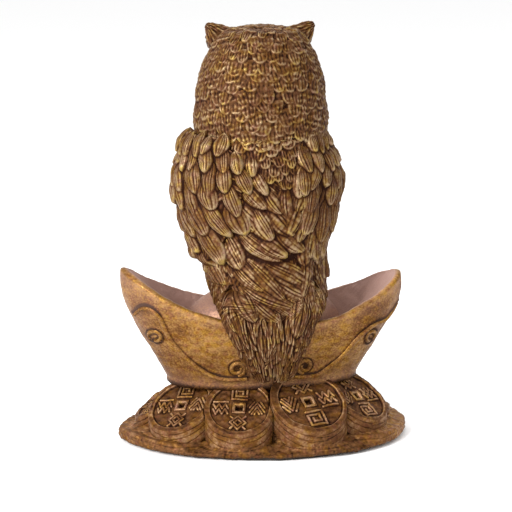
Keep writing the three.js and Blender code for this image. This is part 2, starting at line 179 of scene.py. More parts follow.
def write_mesh(name, grid, paint, wrap=True, caps=None, painted_sheen=0.0):
    """A mesh from a grid of points in millimetres.

    One that goes round is closed by two end points: the caps, or else the middles of its end rings.
    """
    if caps is None:
        caps = (grid[0].mean(0), grid[-1].mean(0)) if wrap else ()
    rows, cols = grid.shape[:2]
    points = grid.reshape(-1, 3)
    paint = np.broadcast_to(paint, (rows, cols)).reshape(-1)
    painted_sheen = np.broadcast_to(painted_sheen, (rows, cols)).reshape(-1)
    index = np.arange(rows * cols).reshape(rows, cols)
    if wrap:
        index = np.concatenate([index, index[:, :1]], 1)
    quads = np.stack([index[:-1, :-1], index[:-1, 1:], index[1:, 1:], index[1:, :-1]], -1)
    quads = quads.reshape(-1, 4)
    triangles = []
    for cap, ring, source in zip(caps, (index[0], index[-1, ::-1]), (0, rows * cols - 1)):
        triangles += [(len(points), b, a) for a, b in zip(ring[:-1], ring[1:])]
        points = np.vstack([points, cap])
        paint = np.append(paint, paint[source])
        painted_sheen = np.append(painted_sheen, painted_sheen[source])
    triangles = np.array(triangles, int).reshape(-1, 3)
    corners = np.concatenate([quads.reshape(-1), triangles.reshape(-1)])
    sizes = np.concatenate([np.full(len(quads), 4), np.full(len(triangles), 3)])
    mesh = bpy.data.meshes.new(name)
    mesh.vertices.add(len(points))
    mesh.vertices.foreach_set("co", ((points + AXIS) * MM).astype(np.float32).reshape(-1))
    mesh.loops.add(len(corners))
    mesh.loops.foreach_set("vertex_index", corners.astype(np.int32))
    mesh.polygons.add(len(sizes))
    mesh.polygons.foreach_set("loop_start", (np.cumsum(sizes) - sizes).astype(np.int32))
    mesh.polygons.foreach_set("use_smooth", np.ones(len(sizes), bool))
    # paint is the gold amount, with painted shadow and highlights in it at places; the second attribute
    # is a painted mauve reflection tint.
    for label, values in (("paint", paint), ("painted_sheen", painted_sheen)):
        attribute = mesh.attributes.new(label, "FLOAT", "POINT")
        attribute.data.foreach_set("value", values.astype(np.float32))
    mesh.update(calc_edges=True)
    mesh.validate()
    piece = bpy.data.objects.new(name, mesh)
    bpy.context.scene.collection.objects.link(piece)
    return piece


def hand_over(piece, slot, *nodes):
    """Finish a piece: its material, the CAD nodes that it stands for, and the body it rides on."""
    piece.data.materials.append(FINISHES[slot])
    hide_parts(*nodes)
    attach(piece, "root")


def wear_and_shadow_paint(relief, wrap, base=0.44, fine=0.06, broad=0.5):
    """How much gold stays on a relief: ridges are rubbed bright and hollows keep the dark wash. The
    darkening of the hollows is partly that real wash and partly painted shadow in crevices and broad
    hollows.
    """
    close = blur(relief, 5, wrap)
    wide = blur(close, 14, wrap)
    near = np.clip((relief - close) / fine, -3.2, 1.9)
    middle = np.clip((close - wide) / (0.5 * broad), -2.2, 1.0)
    far = np.clip((wide - blur(wide, 40, wrap)) / broad, -1.2, 1.2)
    return np.clip(base + 0.2 * near + 0.2 * middle + 0.1 * far, 0, 1)


# ------------------------------------------------------------------ feathers
LEAF, SCALE, STRAND = "leaf", "scale", "strand"
FEATHER_PITCH = 1.75  # distance between the feathers of a row, as a share of their half-width
BODY_RADIUS = 17


def outline(kind, s):
    """Half-width of a feather along its length, as a share of its widest."""
    if kind == LEAF:
        lag = s**1.1
        return np.clip(2.62 * lag**0.62 * (1 - lag) ** 0.72, 0, 1.05)
    return np.clip(4 * s**0.9 * (1 - s**0.9), 0, 1) ** 0.5


class Feather:
    """One feather on a loft, lying from its root towards its tip at an angle off straight down."""

    def __init__(self, loft, turn, z, lean, half, length, kind=LEAF, lift=0.9, ribs=5,
                 thickness=0.0, bend=0.0):
        step = 0.02
        here = loft.point(turn, z, thickness)
        aside = unit(loft.point(turn + step, z, thickness) - loft.point(turn - step, z, thickness))
        down = unit(loft.point(turn, z - step, thickness) - loft.point(turn, z + step, thickness))
        down = unit(down - aside * (down @ aside))
        self.along = math.cos(lean) * down - math.sin(lean) * aside
        self.across = math.sin(lean) * down + math.cos(lean) * aside
        self.outward = np.cross(self.across, self.along)
        self.root = here - self.along * 0.35 * length
        self.half, self.length, self.kind = half, length, kind
        self.lift = lift * rng.uniform(0.75, 1.25)
        self.ribs = ribs + int(rng.integers(-1, 2)) if kind == LEAF else ribs
        self.bend = bend
        self.phase = rng.uniform(-0.5, 0.5)
        self.skew = rng.uniform(-0.28, 0.28)

    def height(self, points):
        """Height above the bed, and nothing (-inf) outside the feather."""
        offset = points - self.root
        s = offset @ self.along / self.length
        side = offset @ self.across - self.bend * self.length * s * s
        inside = (s > 0) & (s < 1) & (np.abs(offset @ self.outward) < 0.6 * self.length + 3)
        s = np.clip(s, 1e-4, 1 - 1e-4)
        if self.kind == SCALE:
            return self.scale_height(s, side / self.half, inside)
        t = side / (self.half * outline(self.kind, s) + 1e-6)
        inside &= np.abs(t) < 1
        t = np.clip(t, -1, 1)
        if self.kind == LEAF:
            body = (1 - t * t) ** 0.62 * smoothstep(1.05, 0.88, s)
            ramp = self.lift * (0.1 + 0.9 * smoothstep(0, 0.6, s))
            depth = 0.5
        else:
            body = (1 - t * t) ** 0.5 * smoothstep(1.0, 0.8, s)
            ramp = self.lift * (0.3 + 0.7 * s)
            depth = 0.34
        uneven = t + self.skew * (1 - t * t) + 0.1 * np.sin(5 * t + 9 * self.phase)
        groove = 1 - np.abs(np.sin(math.pi / 2 * (self.ribs * (uneven + 1) + self.phase))) ** 0.45
        broken = 0.72 + 0.28 * np.sin(6 * s + 5 * t + 12 * self.phase)
        window = np.clip(np.sin(math.pi * s), 0, 1) ** 0.4 * (1 - t**4) * broken
        return np.where(inside, ramp * body - depth * groove * window, -np.inf)

    def scale_height(self, s, t, inside):
        """A short rounded scale with a fine raised edge and a few upright grooves."""
        tip = np.clip((s - 0.4) / 0.6, 0, 1)
        q = (np.abs(t) ** 2.3 + tip**2.3) ** (1 / 2.3)
        inside &= q < 1
        field = self.lift * (0.25 + 0.75 * s) * (1 - np.clip(q, 0, 1) ** 7) ** 0.7
        edge = 0.08 * bump(q, 0.84, 0.09)
        groove = 1 - np.abs(np.sin(math.pi / 2 * (self.ribs * (t + 1) + self.phase))) ** 0.6
        window = smoothstep(0.8, 0.6, q) * smoothstep(0.1, 0.35, s)
        return np.where(inside, field + edge - 0.3 * groove * window, -np.inf)


def plumage(points, feathers, bare):
    """Relief of feathers laid like shingles over a grid whose rows each have one height."""
    relief = np.broadcast_to(np.asarray(bare, float), points.shape[:2]).copy()
    heights = points[:, :, 2].mean(1)
    for feather in feathers:
        reach = feather.length + feather.half
        rows = np.flatnonzero(np.abs(heights - feather.root[2]) < reach)
        if len(rows):
            part = slice(rows[0], rows[-1] + 1)
            relief[part] = np.maximum(relief[part], feather.height(points[part]))
    return relief


def lay_rows(loft, low, high, size, lean, keep, thickness=None, loose=0.22, **style):
    """Staggered rows of feathers. size(z) is (half-width, length, spacing between rows)."""
    feathers = []
    z, row = low, 0
    while z < high:
        half, length, spacing = size(z)
        middle = loft.point(np.array([0, math.pi / 2]), np.array([z, z]))
        girth = math.pi * (abs(middle[0, 1] - middle[1, 1]) + abs(middle[1, 0]))
        count = max(int(girth / (FEATHER_PITCH * half)), 3)
        for k in range(count):
            turn = 2 * math.pi * (k + 0.5 * (row % 2) + rng.uniform(-loose, loose)) / count
            turn = (turn + math.pi) % (2 * math.pi) - math.pi
            level = z + rng.uniform(-loose, loose) * spacing
            if not keep(turn, level):
                continue
            slant = float(lean(turn, level))
            feathers.append(Feather(
                loft, turn, level, slant + rng.normal(0, 0.6 * loose),
                half * rng.uniform(0.78, 1.18), length * rng.uniform(0.82, 1.15),
                thickness=thickness(turn, level) if thickness else 0.0,
                bend=rng.uniform(-0.12, 0.12) - 0.25 * slant, **style,
            ))
        side = loft.point(np.full(2, math.pi / 2), np.array([z, z + 0.5]))
        slope = 0.5 / np.linalg.norm(side[1] - side[0])
        z += max(spacing * slope, 0.25)
        row += 1
    return feathers


def down_hair(turn, points, lean, seed):
    """Fine wavy hairs that follow the feathers' lean, as a bed between them."""
    arc = turn * BODY_RADIUS
    across = arc * np.cos(lean) + points[..., 2] * np.sin(lean)
    along = points[..., 2] * np.cos(lean) - arc * np.sin(lean)
    flat = np.stack([across, along * 0.16, np.zeros_like(arc)], -1)
    return rough(flat, (0.16, 0.42, seed), (0.12, 0.9, seed + 1)) + 0.1 * lumps(points, 1.4, seed + 2)


# ------------------------------------------------------------------ materials
def new_material(name):
    """A material with nodes, and its shader."""
    material = bpy.data.materials.new(name)
    material.use_nodes = True
    return material, material.node_tree.nodes["Principled BSDF"]


def wire(node, inputs):
    """Set each of a node's inputs to a value, or join it to another node's output."""
    for key, value in inputs.items():
        if isinstance(value, bpy.types.NodeSocket):
            node.id_data.links.new(value, node.inputs[key])
        else:
            node.inputs[key].default_value = value


def add_node(material, kind, output, inputs, **settings):
    """One output of a new shader node, once the node's settings and inputs are made."""
    node = material.node_tree.nodes.new("ShaderNode" + kind)
    for key, value in settings.items():
        setattr(node, key, value)
    wire(node, inputs)
    return node.outputs[output]


def ramp_colour(material, amount, ends, between=()):
    """A colour along a ramp, from its two end stops and any between, each (place, colour)."""
    node = material.node_tree.nodes.new("ShaderNodeValToRGB")
    wire(node, {"Fac": amount})
    for stop, (place, colour) in zip(node.color_ramp.elements, ends):
        stop.position = place
        stop.color = (*colour, 1)
    for place, colour in between:
        node.color_ramp.elements.new(place).color = (*colour, 1)
    return node.outputs["Color"]


YELLOW = (1.0, 0.96, 0.45)
PURPLE = (0.84, 0.68, 0.84)
# A painted reflection colour: the mauve sheen of white surroundings on the brown paint at grazing angles.
SHEEN_MAUVE = (0.47, 0.29, 0.245)


def antique(name, dark, middle, gold, metallic=0.55, matt=0.42, grain=0.3, streak=1.0):
    """Antique gold over a dark wash: the paint attribute chooses between the wash and the gold, with
    painted shadow and highlights folded into it at places; the second attribute mixes in a painted mauve
    reflection.
    """
    material, shader = new_material(name)

    def add(*args, **settings):
        return add_node(material, *args, **settings)

    place = add("TexCoord", "Object", {})
    stretched = add("Mapping", "Vector", {"Vector": place, "Scale": (1, 1, streak)})

    def noise(scale, detail=4.0):
        return add("TexNoise", "Fac", {"Vector": stretched, "Scale": scale, "Detail": detail})

    def math_node(operation, first, second):
        return add("Math", "Value", {0: first, 1: second}, operation=operation)

    def about_zero(field, height):
        return math_node("MULTIPLY", math_node("SUBTRACT", field, 0.5), height)

    def ranged(field, low, high, start, end):
        """The field carried from low..high to start..end."""
        span = {"From Min": low, "From Max": high, "To Min": start, "To Max": end}
        return add("MapRange", "Result", {"Value": field, **span})

    def mixed(colour, towards, amount, blend="MIX"):
        inputs = {"A": colour, "B": (*towards, 1), "Factor": amount}
        return add("Mix", "Result", inputs, data_type="RGBA", blend_type=blend)

    paint = add("Attribute", "Fac", {}, attribute_name="paint")
    painted_sheen = add("Attribute", "Fac", {}, attribute_name="painted_sheen")
    patchy = math_node("ADD", paint, about_zero(noise(220, 3.0), 0.55))
    worn = math_node("ADD", patchy, about_zero(noise(1900), grain))
    colour = ramp_colour(material, worn, [(0.1, dark), (0.92, gold)], [(0.52, middle)])
    colour = mixed(colour, YELLOW, ranged(noise(420), 0.46, 0.62, 0.0, 0.9), "MULTIPLY")
    colour = mixed(colour, PURPLE, ranged(noise(760), 0.5, 0.66, 0.0, 0.9), "MULTIPLY")
    # Painted reflection: the second attribute mixes the colour towards the mauve sheen.
    wire(shader, {
        "Base Color": mixed(colour, SHEEN_MAUVE, painted_sheen),
        "Metallic": ranged(worn, 0.0, 1.0, 0.0, metallic),
        "Roughness": ranged(worn, 0.0, 1.0, matt + 0.2, matt),
        "Specular IOR Level": 0.06,
        "Normal": add("Bump", "Normal", {"Height": noise(2600), "Strength": 0.7, "Distance": 0.0001}),
    })
    return material


# A near-black pad under the base; along the base's bottom edge it shows as a dark line.
def dark_pad_material():
    material, shader = new_material("felt")
    fine_noise = add_node(material, "TexNoise", "Fac", {"Scale": 3000})
    stops = [(0.0, (0.012, 0.01, 0.008)), (1.0, (0.05, 0.04, 0.035))]
    wire(shader, {"Roughness": 0.95, "Base Color": ramp_colour(material, fine_noise, stops)})
    return material


coin_gold = antique(
    "coin_gold", (0.012, 0.003, 0.0005), (0.12, 0.051, 0.018), (0.36, 0.215, 0.115), grain=0.5)
FINISHES = {
    "feather_resin": antique(
        "feather_gold", (0.015, 0.0035, 0.0006), (0.094, 0.04, 0.0145), (0.292, 0.202, 0.11), grain=0.5),
    "ingot_resin": antique(
        "ingot_gold", (0.02, 0.007, 0.002), (0.12, 0.05, 0.014), (0.31, 0.168, 0.055),
        metallic=0.6, matt=0.38, grain=1.0, streak=1.3),
    "coin_resin": coin_gold,
    "foot_resin": coin_gold,
    "base_resin": antique(
        "base_bronze", (0.014, 0.005, 0.001), (0.15, 0.066, 0.024), (0.36, 0.2, 0.09), grain=0.45),
    "face_resin": antique("face_bronze", (0.01, 0.004, 0.001), (0.1, 0.045, 0.018), (0.34, 0.21, 0.1)),
}


# ------------------------------------------------------------------ owl body
TORSO_SHAPE = [
    (0.0, -0.01, 0.77, 0.73, 0.3),
    (0.07, -0.03, 0.58, 0.81, 0.52),
    (0.175, -0.02, 0.24, 0.87, 0.84),
    (0.34, 0.0, 0.05, 0.9, 0.97),
    (0.53, 0.0, 0.0, 0.945, 0.99),
    (0.72, 0.0, 0.0, 0.99, 1.0),
    (0.87, 0.0, 0.0, 0.975, 0.965),
]
HEAD_SHAPE = [
    (0.0, 0.0, 0.0, 0.955, 0.97),
    (0.14, 0.0, 0.0, 0.975, 0.985),
    (0.31, 0.0, 0.0, 0.95, 0.975),
    (0.48, 0.0, 0.0, 0.92, 0.95),
    (0.66, -0.01, 0.0, 0.84, 0.88),
    (0.81, -0.01, 0.0, 0.715, 0.75),
    (0.91, -0.01, 0.0, 0.6, 0.62),
    (0.972, -0.02, 0.0, 0.4, 0.42),
    (1.0, -0.02, 0.0, 0.03, 0.03),
]
OWL = Loft(fitted(TORSO_LO, TORSO_HI, TORSO_SHAPE) + fitted(HEAD_LO, HEAD_HI, HEAD_SHAPE))
# The feathers of the back meet on a line to the owl's right of its middle: (height, turn in degrees).
SPINE = [(38, -24), (50, -28), (60, -20), (75, -11), (88, -6)]
# The hood's lower edge: (turn in degrees, height).
HOOD_EDGE = [(-180, 84.5), (-120, 84.5), (-80, 83.5), (-50, 80), (-28, 74.5), (-12, 73), (10, 76.5),
             (30, 80), (50, 83.5), (90, 85), (180, 84.5)]
REAR_REACH = 1.9  # how far round from the back the rear feathers go


def back_lean(turn, z):
    """Feathers of the back sweep towards the spine, more and more towards the tail."""
    sweep = np.radians(curve([(38, 38), (48, 45), (56, 41), (66, 30), (76, 18), (86, 8)], z))
    aside = np.degrees(turn) - curve(SPINE, z)
    left = smoothstep(-9, 9, aside)
    return sweep * ((1 - 0.65 * smoothstep(35, 95, aside)) * left - 0.3 * (1 - left))


def straight(turn, z):
    return 0.0


def flank(turn, z):
    """Where the lower sides carry short fluff in place of leaf feathers."""
    return (turn > 0.62 and z < 54) or (turn < -0.85 and z < 60)


def back_size(z):
    half = curve([(38, 2.6), (46, 3.0), (56, 3.1), (66, 2.9), (75, 2.4), (80, 2.1), (86, 1.7)], z)
    length = curve([(38, 14), (46, 15.5), (56, 14), (66, 11.5), (75, 9.2), (80, 7.8), (86, 6)], z)
    return half, length, 0.5 * length


def fluff_size(z):
    return 1.05, 6.5, 2.3


def breast_size(z):
    return 1.75, 5.2, 2.7


def ring_of_turns(count, back_share=0.62):
    """Turns all the way round, closer together on the back than on the front."""
    back = int(count * back_share)
    rear = np.linspace(-math.pi / 2, math.pi / 2, back, endpoint=False)
    front = np.linspace(math.pi / 2, 3 * math.pi / 2, count - back, endpoint=False)
    return np.concatenate([rear, front])


def body_grid(loft, low, high, rows, cols, thickness=None):
    turn, z = np.meshgrid(ring_of_turns(cols), loft.levels(low, high, rows))
    return turn, z, loft.point(turn, z, thickness(turn, z) if thickness else 0.0)


def build_torso():
    low, high = TORSO_LO[2] - 0.6, TORSO_HI[2] + 1
    turn, z, points = body_grid(OWL, low, high, 202, 484)
    thighs = sum(bump(points[..., 0], side * 7, 4.2) for side in (1, -1))
    points = raised(points, 2.2 * thighs * bump(np.cos(turn), -1, 0.35) * bump(z, 49.5, 5.5))

    def hooded(a, level):
        return level > float(curve(HOOD_EDGE, math.degrees(a)))

    def on_back(a, level):
        lower = level < 86 and not hooded(a, level - 2)
        return abs(a) < REAR_REACH and lower and not flank(a, level)

    def on_flank(a, level):
        return abs(a) < REAR_REACH and flank(a, level)

    def on_nape(a, level):
        return abs(a) < REAR_REACH and hooded(a, level)

    def on_breast(a, level):
        return abs(a) > 1.7 and level > 44

    feathers = (
        lay_rows(OWL, 41, 88, back_size, back_lean, on_back, ribs=6, lift=1.35, loose=0.28)
        + lay_rows(OWL, 39, 60, fluff_size, back_lean, on_flank, kind=STRAND, lift=0.7, ribs=2)
        + lay_rows(OWL, 71, 90, scale_size, straight, on_nape, kind=SCALE, lift=0.5, ribs=4, loose=0.3)
        + lay_rows(OWL, 45, 86, breast_size, straight, on_breast, kind=SCALE, lift=0.7, ribs=4)
    )
    bed = down_hair(turn, points, back_lean(turn, z), 101)
    relief = plumage(points, feathers, bed - 0.1) + rough(points, (0.06, 0.7, 3), (0.08, 2, 4))
    # Darker down in the bed between the feathers: dark wash and painted shadow.
    paint = wear_and_shadow_paint(relief, True) - 0.16 * smoothstep(0.3, 0.0, relief)
    caps = (np.array([0, TORSO_HI[1] * 0.75, low]), np.array([0, 0, high]))
    piece = write_mesh("owl_torso", raised(points, relief), paint, caps=caps)
    hand_over(piece, "feather_resin", "torso")


# Wing outline on the body: height, turn of its rear edge and turn of its front edge, in degrees.
WING_REAR = [(50, 66), (54, 52), (58, 42), (64, 31), (72, 24), (80, 27), (87, 46)]
WING_FRONT = [(50, 74), (54, 92), (58, 108), (64, 128), (72, 140), (80, 128), (87, 90)]
# How far each wing stands off the body, by height: the owl's left wing is the thicker one.
WING_THICK = {
    1: [(50.6, 0.0), (51.6, 2.4), (54, 3.0), (60, 4.6), (67, 5.6), (72, 6.0), (76, 5.8), (79, 4.6),
        (82, 4.2), (85, 2.9), (87, 0.6)],
    -1: [(50, 0.0), (54, 0.2), (57, 1.0), (60, 2.2), (67, 2.9), (72, 3.6), (76, 2.9), (79, 2.0),
         (83, 0.6), (87, 0)],
}
WING_SPAN = np.radians([14, 150])


def build_wing(node, side):
    """A folded wing: coverts over long flight feathers, standing off the body most at its side."""

    def thickness(turn, z):
        return curve(WING_THICK[side], z) * np.sin(side * turn) ** 2

    def in_wing(turn, z):
        angle = math.degrees(side * turn)
        return 50 < z < 86 and curve(WING_REAR, z) < angle < curve(WING_FRONT, z)

    def wing_lean(turn, z):
        forward = smoothstep(1.0, 1.4, side * turn)
        drift = side * np.radians(curve([(46, 30), (60, 26), (86, 8)], z))
        return back_lean(turn, z) * (1 - forward) + drift * forward

    turns = side * np.linspace(*WING_SPAN, 330)[::side]
    turn, z = np.meshgrid(turns, OWL.levels(46, 88, 230))
    points = OWL.point(turn, z, thickness(turn, z))
    feathers = lay_rows(OWL, 51, 86, back_size, wing_lean, in_wing, thickness, ribs=6, lift=1.3)
    angle = np.degrees(side * turn)
    within = smoothstep(-3, 3, angle - curve(WING_REAR, z))
    within = within * smoothstep(7, -5, angle - curve(WING_FRONT, z))
    within = within * smoothstep(50.6, 52, z) * smoothstep(87, 85.5, z)
    bed = down_hair(turn, points, wing_lean(turn, z), 111) - 0.1
    relief = plumage(points, feathers, bed * within - (thickness(turn, z) + 1.6) * (1 - within))
    # Darker down in the bed between the feathers: dark wash and painted shadow.
    paint = wear_and_shadow_paint(np.maximum(relief, -0.6), False) - 0.16 * smoothstep(0.3, 0.0, relief)
    grid = raised(points, relief + rough(points, (0.05, 0.8, 5), (0.06, 2, 6)), wrap=False)
    rim = np.concatenate([grid[:, 0], grid[-1, :], grid[::-1, -1], grid[0, ::-1]])
    piece = write_mesh(f"owl_{node}", grid, paint, wrap=False)
    close_rim(piece, rim.mean(0) * [0.3, 0.6, 1])
    hand_over(piece, "feather_resin", node)


def close_rim(piece, core):
    """Close an open grid with a fan from its rim to a point inside the body."""
    mesh = bmesh.new()
    mesh.from_mesh(piece.data)
    tip = mesh.verts.new(((core + AXIS) * MM).tolist())
    for edge in [e for e in mesh.edges if e.is_boundary]:
        face = mesh.faces.new((edge.verts[0], edge.verts[1], tip))
        face.smooth = True
    bmesh.ops.recalc_face_normals(mesh, faces=mesh.faces)
    mesh.to_mesh(piece.data)
    mesh.free()


EYE_LO, EYE_HI = node_box("left_eye")
EYE_RADIUS = (EYE_HI[2] - EYE_LO[2]) / 2
EYE = np.array([(EYE_LO[0] + EYE_HI[0]) / 2, EYE_LO[1] + EYE_RADIUS, (EYE_LO[2] + EYE_HI[2]) / 2])
DISC_RADIUS = 8.6


def face_relief(points, relief):
    """Round discs of fine rays about the eyes, with a raised rim, on the front of the head."""
    front = smoothstep(-4, -9, points[..., 1])
    for side in (1, -1):
        x = points[..., 0] - side * EYE[0]
        z = points[..., 2] - EYE[2]
        r = np.hypot(x, z)
        rays = 0.5 + 0.5 * np.cos(30 * np.arctan2(z, x) + 2.2 * np.sin(r))
        dish = bump(r, DISC_RADIUS, 1.1) - 0.5 * smoothstep(DISC_RADIUS, 4, r)
        dish = dish + 1.9 * smoothstep(5.4, 3.6, r)
        disc = dish - 0.22 * rays * smoothstep(3.6, 5, r) * smoothstep(9.6, 8, r) + 0.4
        inside = smoothstep(DISC_RADIUS + 1.4, DISC_RADIUS + 0.3, r) * front
        own_side = smoothstep(-1.2, 0.4, side * points[..., 0])
        relief = relief + (disc - relief) * inside * own_side
    return relief


def scale_size(level):
    keys = [(72, 1.3), (80, 1.7), (86, 2.0), (96, 2.2), (104, 2.1), (110, 1.8), (114, 1.5)]
    half = curve(keys, level)
    return half, 2.2 * half, 1.25 * half


def build_head():
    low, high = 82.0, HEAD_HI[2]
    turn, z, points = body_grid(OWL, low, high, 190, 512)

    def on_hood(a, level):
        facing = level > 87 and abs(a) > 2.35 and level < 105
        return level > 84.5 and not facing

    feathers = lay_rows(OWL, low, high - 0.1, scale_size, straight, on_hood,
                        kind=SCALE, lift=0.48, ribs=4, loose=0.26)
    bed = 0.6 * down_hair(turn, points, 0.0 * turn, 121) - 0.1
    relief = plumage(points, feathers, np.where(z < HEAD_LO[2] + 1, -1.3, bed))
    relief = face_relief(points, relief) + rough(points, (0.03, 0.5, 8), (0.09, 0.9, 9), (0.16, 2.4, 10))
    paint = wear_and_shadow_paint(np.maximum(relief, -0.6), True, base=0.46, fine=0.085)
    grid = raised(points, relief)
    piece = write_mesh("owl_head", grid, paint, caps=(np.array([0, 0, low]), grid[-1].mean(0)))
    hand_over(piece, "feather_resin", "head")


TAIL_LO, TAIL_HI = node_box("tail")
TAIL_SHAPE = [
    (0.0, -0.03, -0.1, 0.3, 0.42),
    (0.07, -0.03, -0.02, 0.5, 0.6),
    (0.2, -0.02, 0.02, 0.68, 0.78),
    (0.36, -0.01, 0.1, 0.85, 0.86),
    (0.55, 0.0, 0.0, 1.05, 0.9),
    (0.75, -0.03, -0.3, 1.3, 1.0),
    (1.0, -0.06, -0.7, 1.3, 0.95),
]


def build_tail():
    """The tail hangs down the ingot's rear wall in long narrow strands, under the last back feathers."""
    loft = Loft(fitted(TAIL_LO, TAIL_HI, TAIL_SHAPE))
    low, high = TAIL_LO[2] - 0.2, TAIL_HI[2]
    turn, z, points = body_grid(loft, low, high, 180, 400)

    def strand_size(level):
        return 0.85, 9.5, 2.6

    def tail_lean(a, level):
        fanned = 0.16 * np.sin(2.2 * a) * smoothstep(42, 37, level)
        return back_lean(a, level) * smoothstep(37, 42, level) + fanned

    def on_rear(a, level):
        return abs(a) < 1.75

    def at_top(a, level):
        return -0.6 < a < 0.9

    feathers = lay_rows(loft, low + 2.5, 40, strand_size, tail_lean, on_rear,
                        kind=STRAND, lift=1.15, ribs=2, loose=0.34)
    feathers += lay_rows(loft, 43, high + 4, back_size, back_lean, at_top, ribs=6, lift=1.7)
    lean = tail_lean(turn, z)
    relief = plumage(points, feathers, down_hair(turn, points, lean, 131) - 0.1)
    relief = relief + 0.6 * down_hair(turn, points, lean, 135)
    paint = wear_and_shadow_paint(relief, True, base=0.38)
    sunk = 3.2 * smoothstep(42.5, 48, z)
    piece = write_mesh("owl_tail", raised(points, relief - sunk), paint)
    hand_over(piece, "feather_resin", "tail")


# ------------------------------------------------------------------ tubes: ears, beak, toes, scrolls
def evenly(values, place):
    """A smooth curve through values that are evenly spaced from 0 to 1."""
    return curve(np.stack([np.linspace(0, 1, len(values)), values], 1), place)


def smooth_line(path, place):
    """Points at places 0 to 1 of a smooth line through a path's points."""
    return np.stack([evenly(axis, place) for axis in np.array(path, float).T], -1)


def tube(path, radii, rows, cols):
    """A grid round a smooth path, its directions out, and the place (0 to 1) and turn of its points."""
    place = np.linspace(0, 1, rows)
    line = smooth_line(path, place)
    radius = evenly(np.array(radii, float), place)
    tangent = unit(np.gradient(line, axis=0))
    side = np.zeros_like(tangent)
    previous = unit(np.cross(tangent[0], [0.13, 0.31, 0.94]))
    for i, direction in enumerate(tangent):
        previous = unit(previous - direction * (previous @ direction))
        side[i] = previous
    other = np.cross(tangent, side)
    turn = full_turn(cols)
    ring = side[:, None] * np.cos(turn)[:, None] + other[:, None] * np.sin(turn)[:, None]
    return line[:, None] + radius[:, None, None] * ring, ring, place[:, None], turn[None, :]


def facing_out(grid):
    """The grid, with its columns reversed when its faces would point inwards, and whether they were."""
    inward = np.sum((grid - grid.mean(1, keepdims=True)) * grid_normals(grid)) < 0
    return (grid[:, ::-1], True) if inward else (grid, False)


def no_relief(place, turn):
    return 0.0


def tube_piece(name, path, radii, rows, cols, relief_of=no_relief, base_paint=0.5):
    grid, ring, place, turn = tube(path, radii, rows, cols)
    relief = np.zeros(grid.shape[:2]) + relief_of(place, turn)
    paint = wear_and_shadow_paint(relief, True) - 0.46 + base_paint
    grid, turned = facing_out(grid + unit(ring) * relief[..., None])
    return write_mesh(name, grid, paint[:, ::-1] if turned else paint)


# Each ridge of the left ear tuft: its path and its radii.
TUFT_RIDGES = {
    "brow": (
        [(3.6, -17.0, 100.6), (7.4, -15.2, 105.2), (10.0, -9.8, 108.8), (11.6, -4.6, 110.6),
         (14.2, -3.2, 113.4)],
        [1.1, 2.2, 3.1, 3.3, 1.0]),
    "crown": (
        [(1.5, -2.6, 110.9), (6.8, -3.0, 110.9), (10.8, -3.2, 111.9), (13.4, -3.2, 113.2),
         (14.9, -3.2, 114.0)],
        [2.3, 2.3, 2.0, 1.5, 0.5]),
}


def build_tuft(node, side):
    """A brow ridge and a crown ridge that meet in a blunt ear tuft at the head's corner."""

    def streaks(place, turn):
        wave = np.sin(5 * turn + 3 * np.sin(5 * place)) + np.sin(9 * turn + 9 * place)
        wave = wave + np.sin(14 * turn - 16 * place)
        return 0.1 * wave + 0.07 * np.sin(38 * place + 4 * np.sin(3 * turn))

    ridges = []
    for label, (path, radii) in TUFT_RIDGES.items():
        path = np.array(path) * [side, 1, 1]
        ridges.append(tube_piece(f"{node}_{label}", path, radii, 110, 110, streaks, base_paint=0.42))
    hand_over(join(ridges, f"owl_{node}"), "feather_resin", node)


def polar_grid(first, last, rows, cols):
    """Polar angles down the rows and turns along the columns."""
    return np.meshgrid(np.linspace(first, last, rows), full_turn(cols), indexing="ij")


def build_eye(node, side):
    """An eyeball with a raised lid ring, an iris and a sunk pupil."""
    polar, turn = polar_grid(0.02, math.pi - 0.02, 70, 96)
    ball = np.stack([np.sin(polar) * np.cos(turn), -np.cos(polar), np.sin(polar) * np.sin(turn)], -1)
    angle = np.degrees(polar)
    pupil, iris, lid = smoothstep(21, 17, angle), bump(angle, 27, 4), bump(angle, 56, 6)
    relief = -0.45 * pupil + 0.3 * lid + 0.12 * iris
    relief += 0.05 * np.cos(40 * turn) * bump(angle, 40, 12)
    paint = np.clip(0.62 + relief * 1.2 - 0.6 * smoothstep(22, 16, angle), 0, 1)
    grid, _ = facing_out(EYE * [side, 1, 1] + ball * (EYE_RADIUS + relief - 0.2)[..., None])
    hand_over(write_mesh(f"owl_{node}", grid, paint), "face_resin", node)


def build_beak():
    """A small hooked beak with fine growth lines."""
    (_, front, low), (_, rear, high) = node_box("beak")
    path = [(0, rear + 0.2, high + 0.6), (0, front + 2.6, high - 1.6),
            (0, front + 0.9, (low + high) / 2 - 0.6), (0, front + 1.6, low + 0.2)]

    def lines(place, turn):
        return 0.06 * np.sin(60 * place)

    piece = tube_piece("owl_beak", path, [1.6, 2.3, 1.9, 0.25], 60, 48, lines, base_paint=0.6)
    hand_over(piece, "face_resin", "beak")


DOME_LO, DOME_HI = node_box("ingot_dome")
DOME_HALF = (DOME_HI - DOME_LO) / 2
DOME_CENTRE = 30.0
DOME_RISE = DOME_HI[2] - DOME_CENTRE


def dome_height(x, y):
    inside = 1 - (x / DOME_HALF[0]) ** 2 - (y / DOME_HALF[1]) ** 2
    return DOME_CENTRE + DOME_RISE * math.sqrt(max(inside, 0))


# A toe's sections: (place along it, radius), from inside the leg to the claw's tip.
TOE = [(-0.35, 1.9), (0, 1.9), (0.3, 1.7), (0.6, 1.65), (0.85, 1.5), (1.0, 1.0), (1.16, 0.3)]


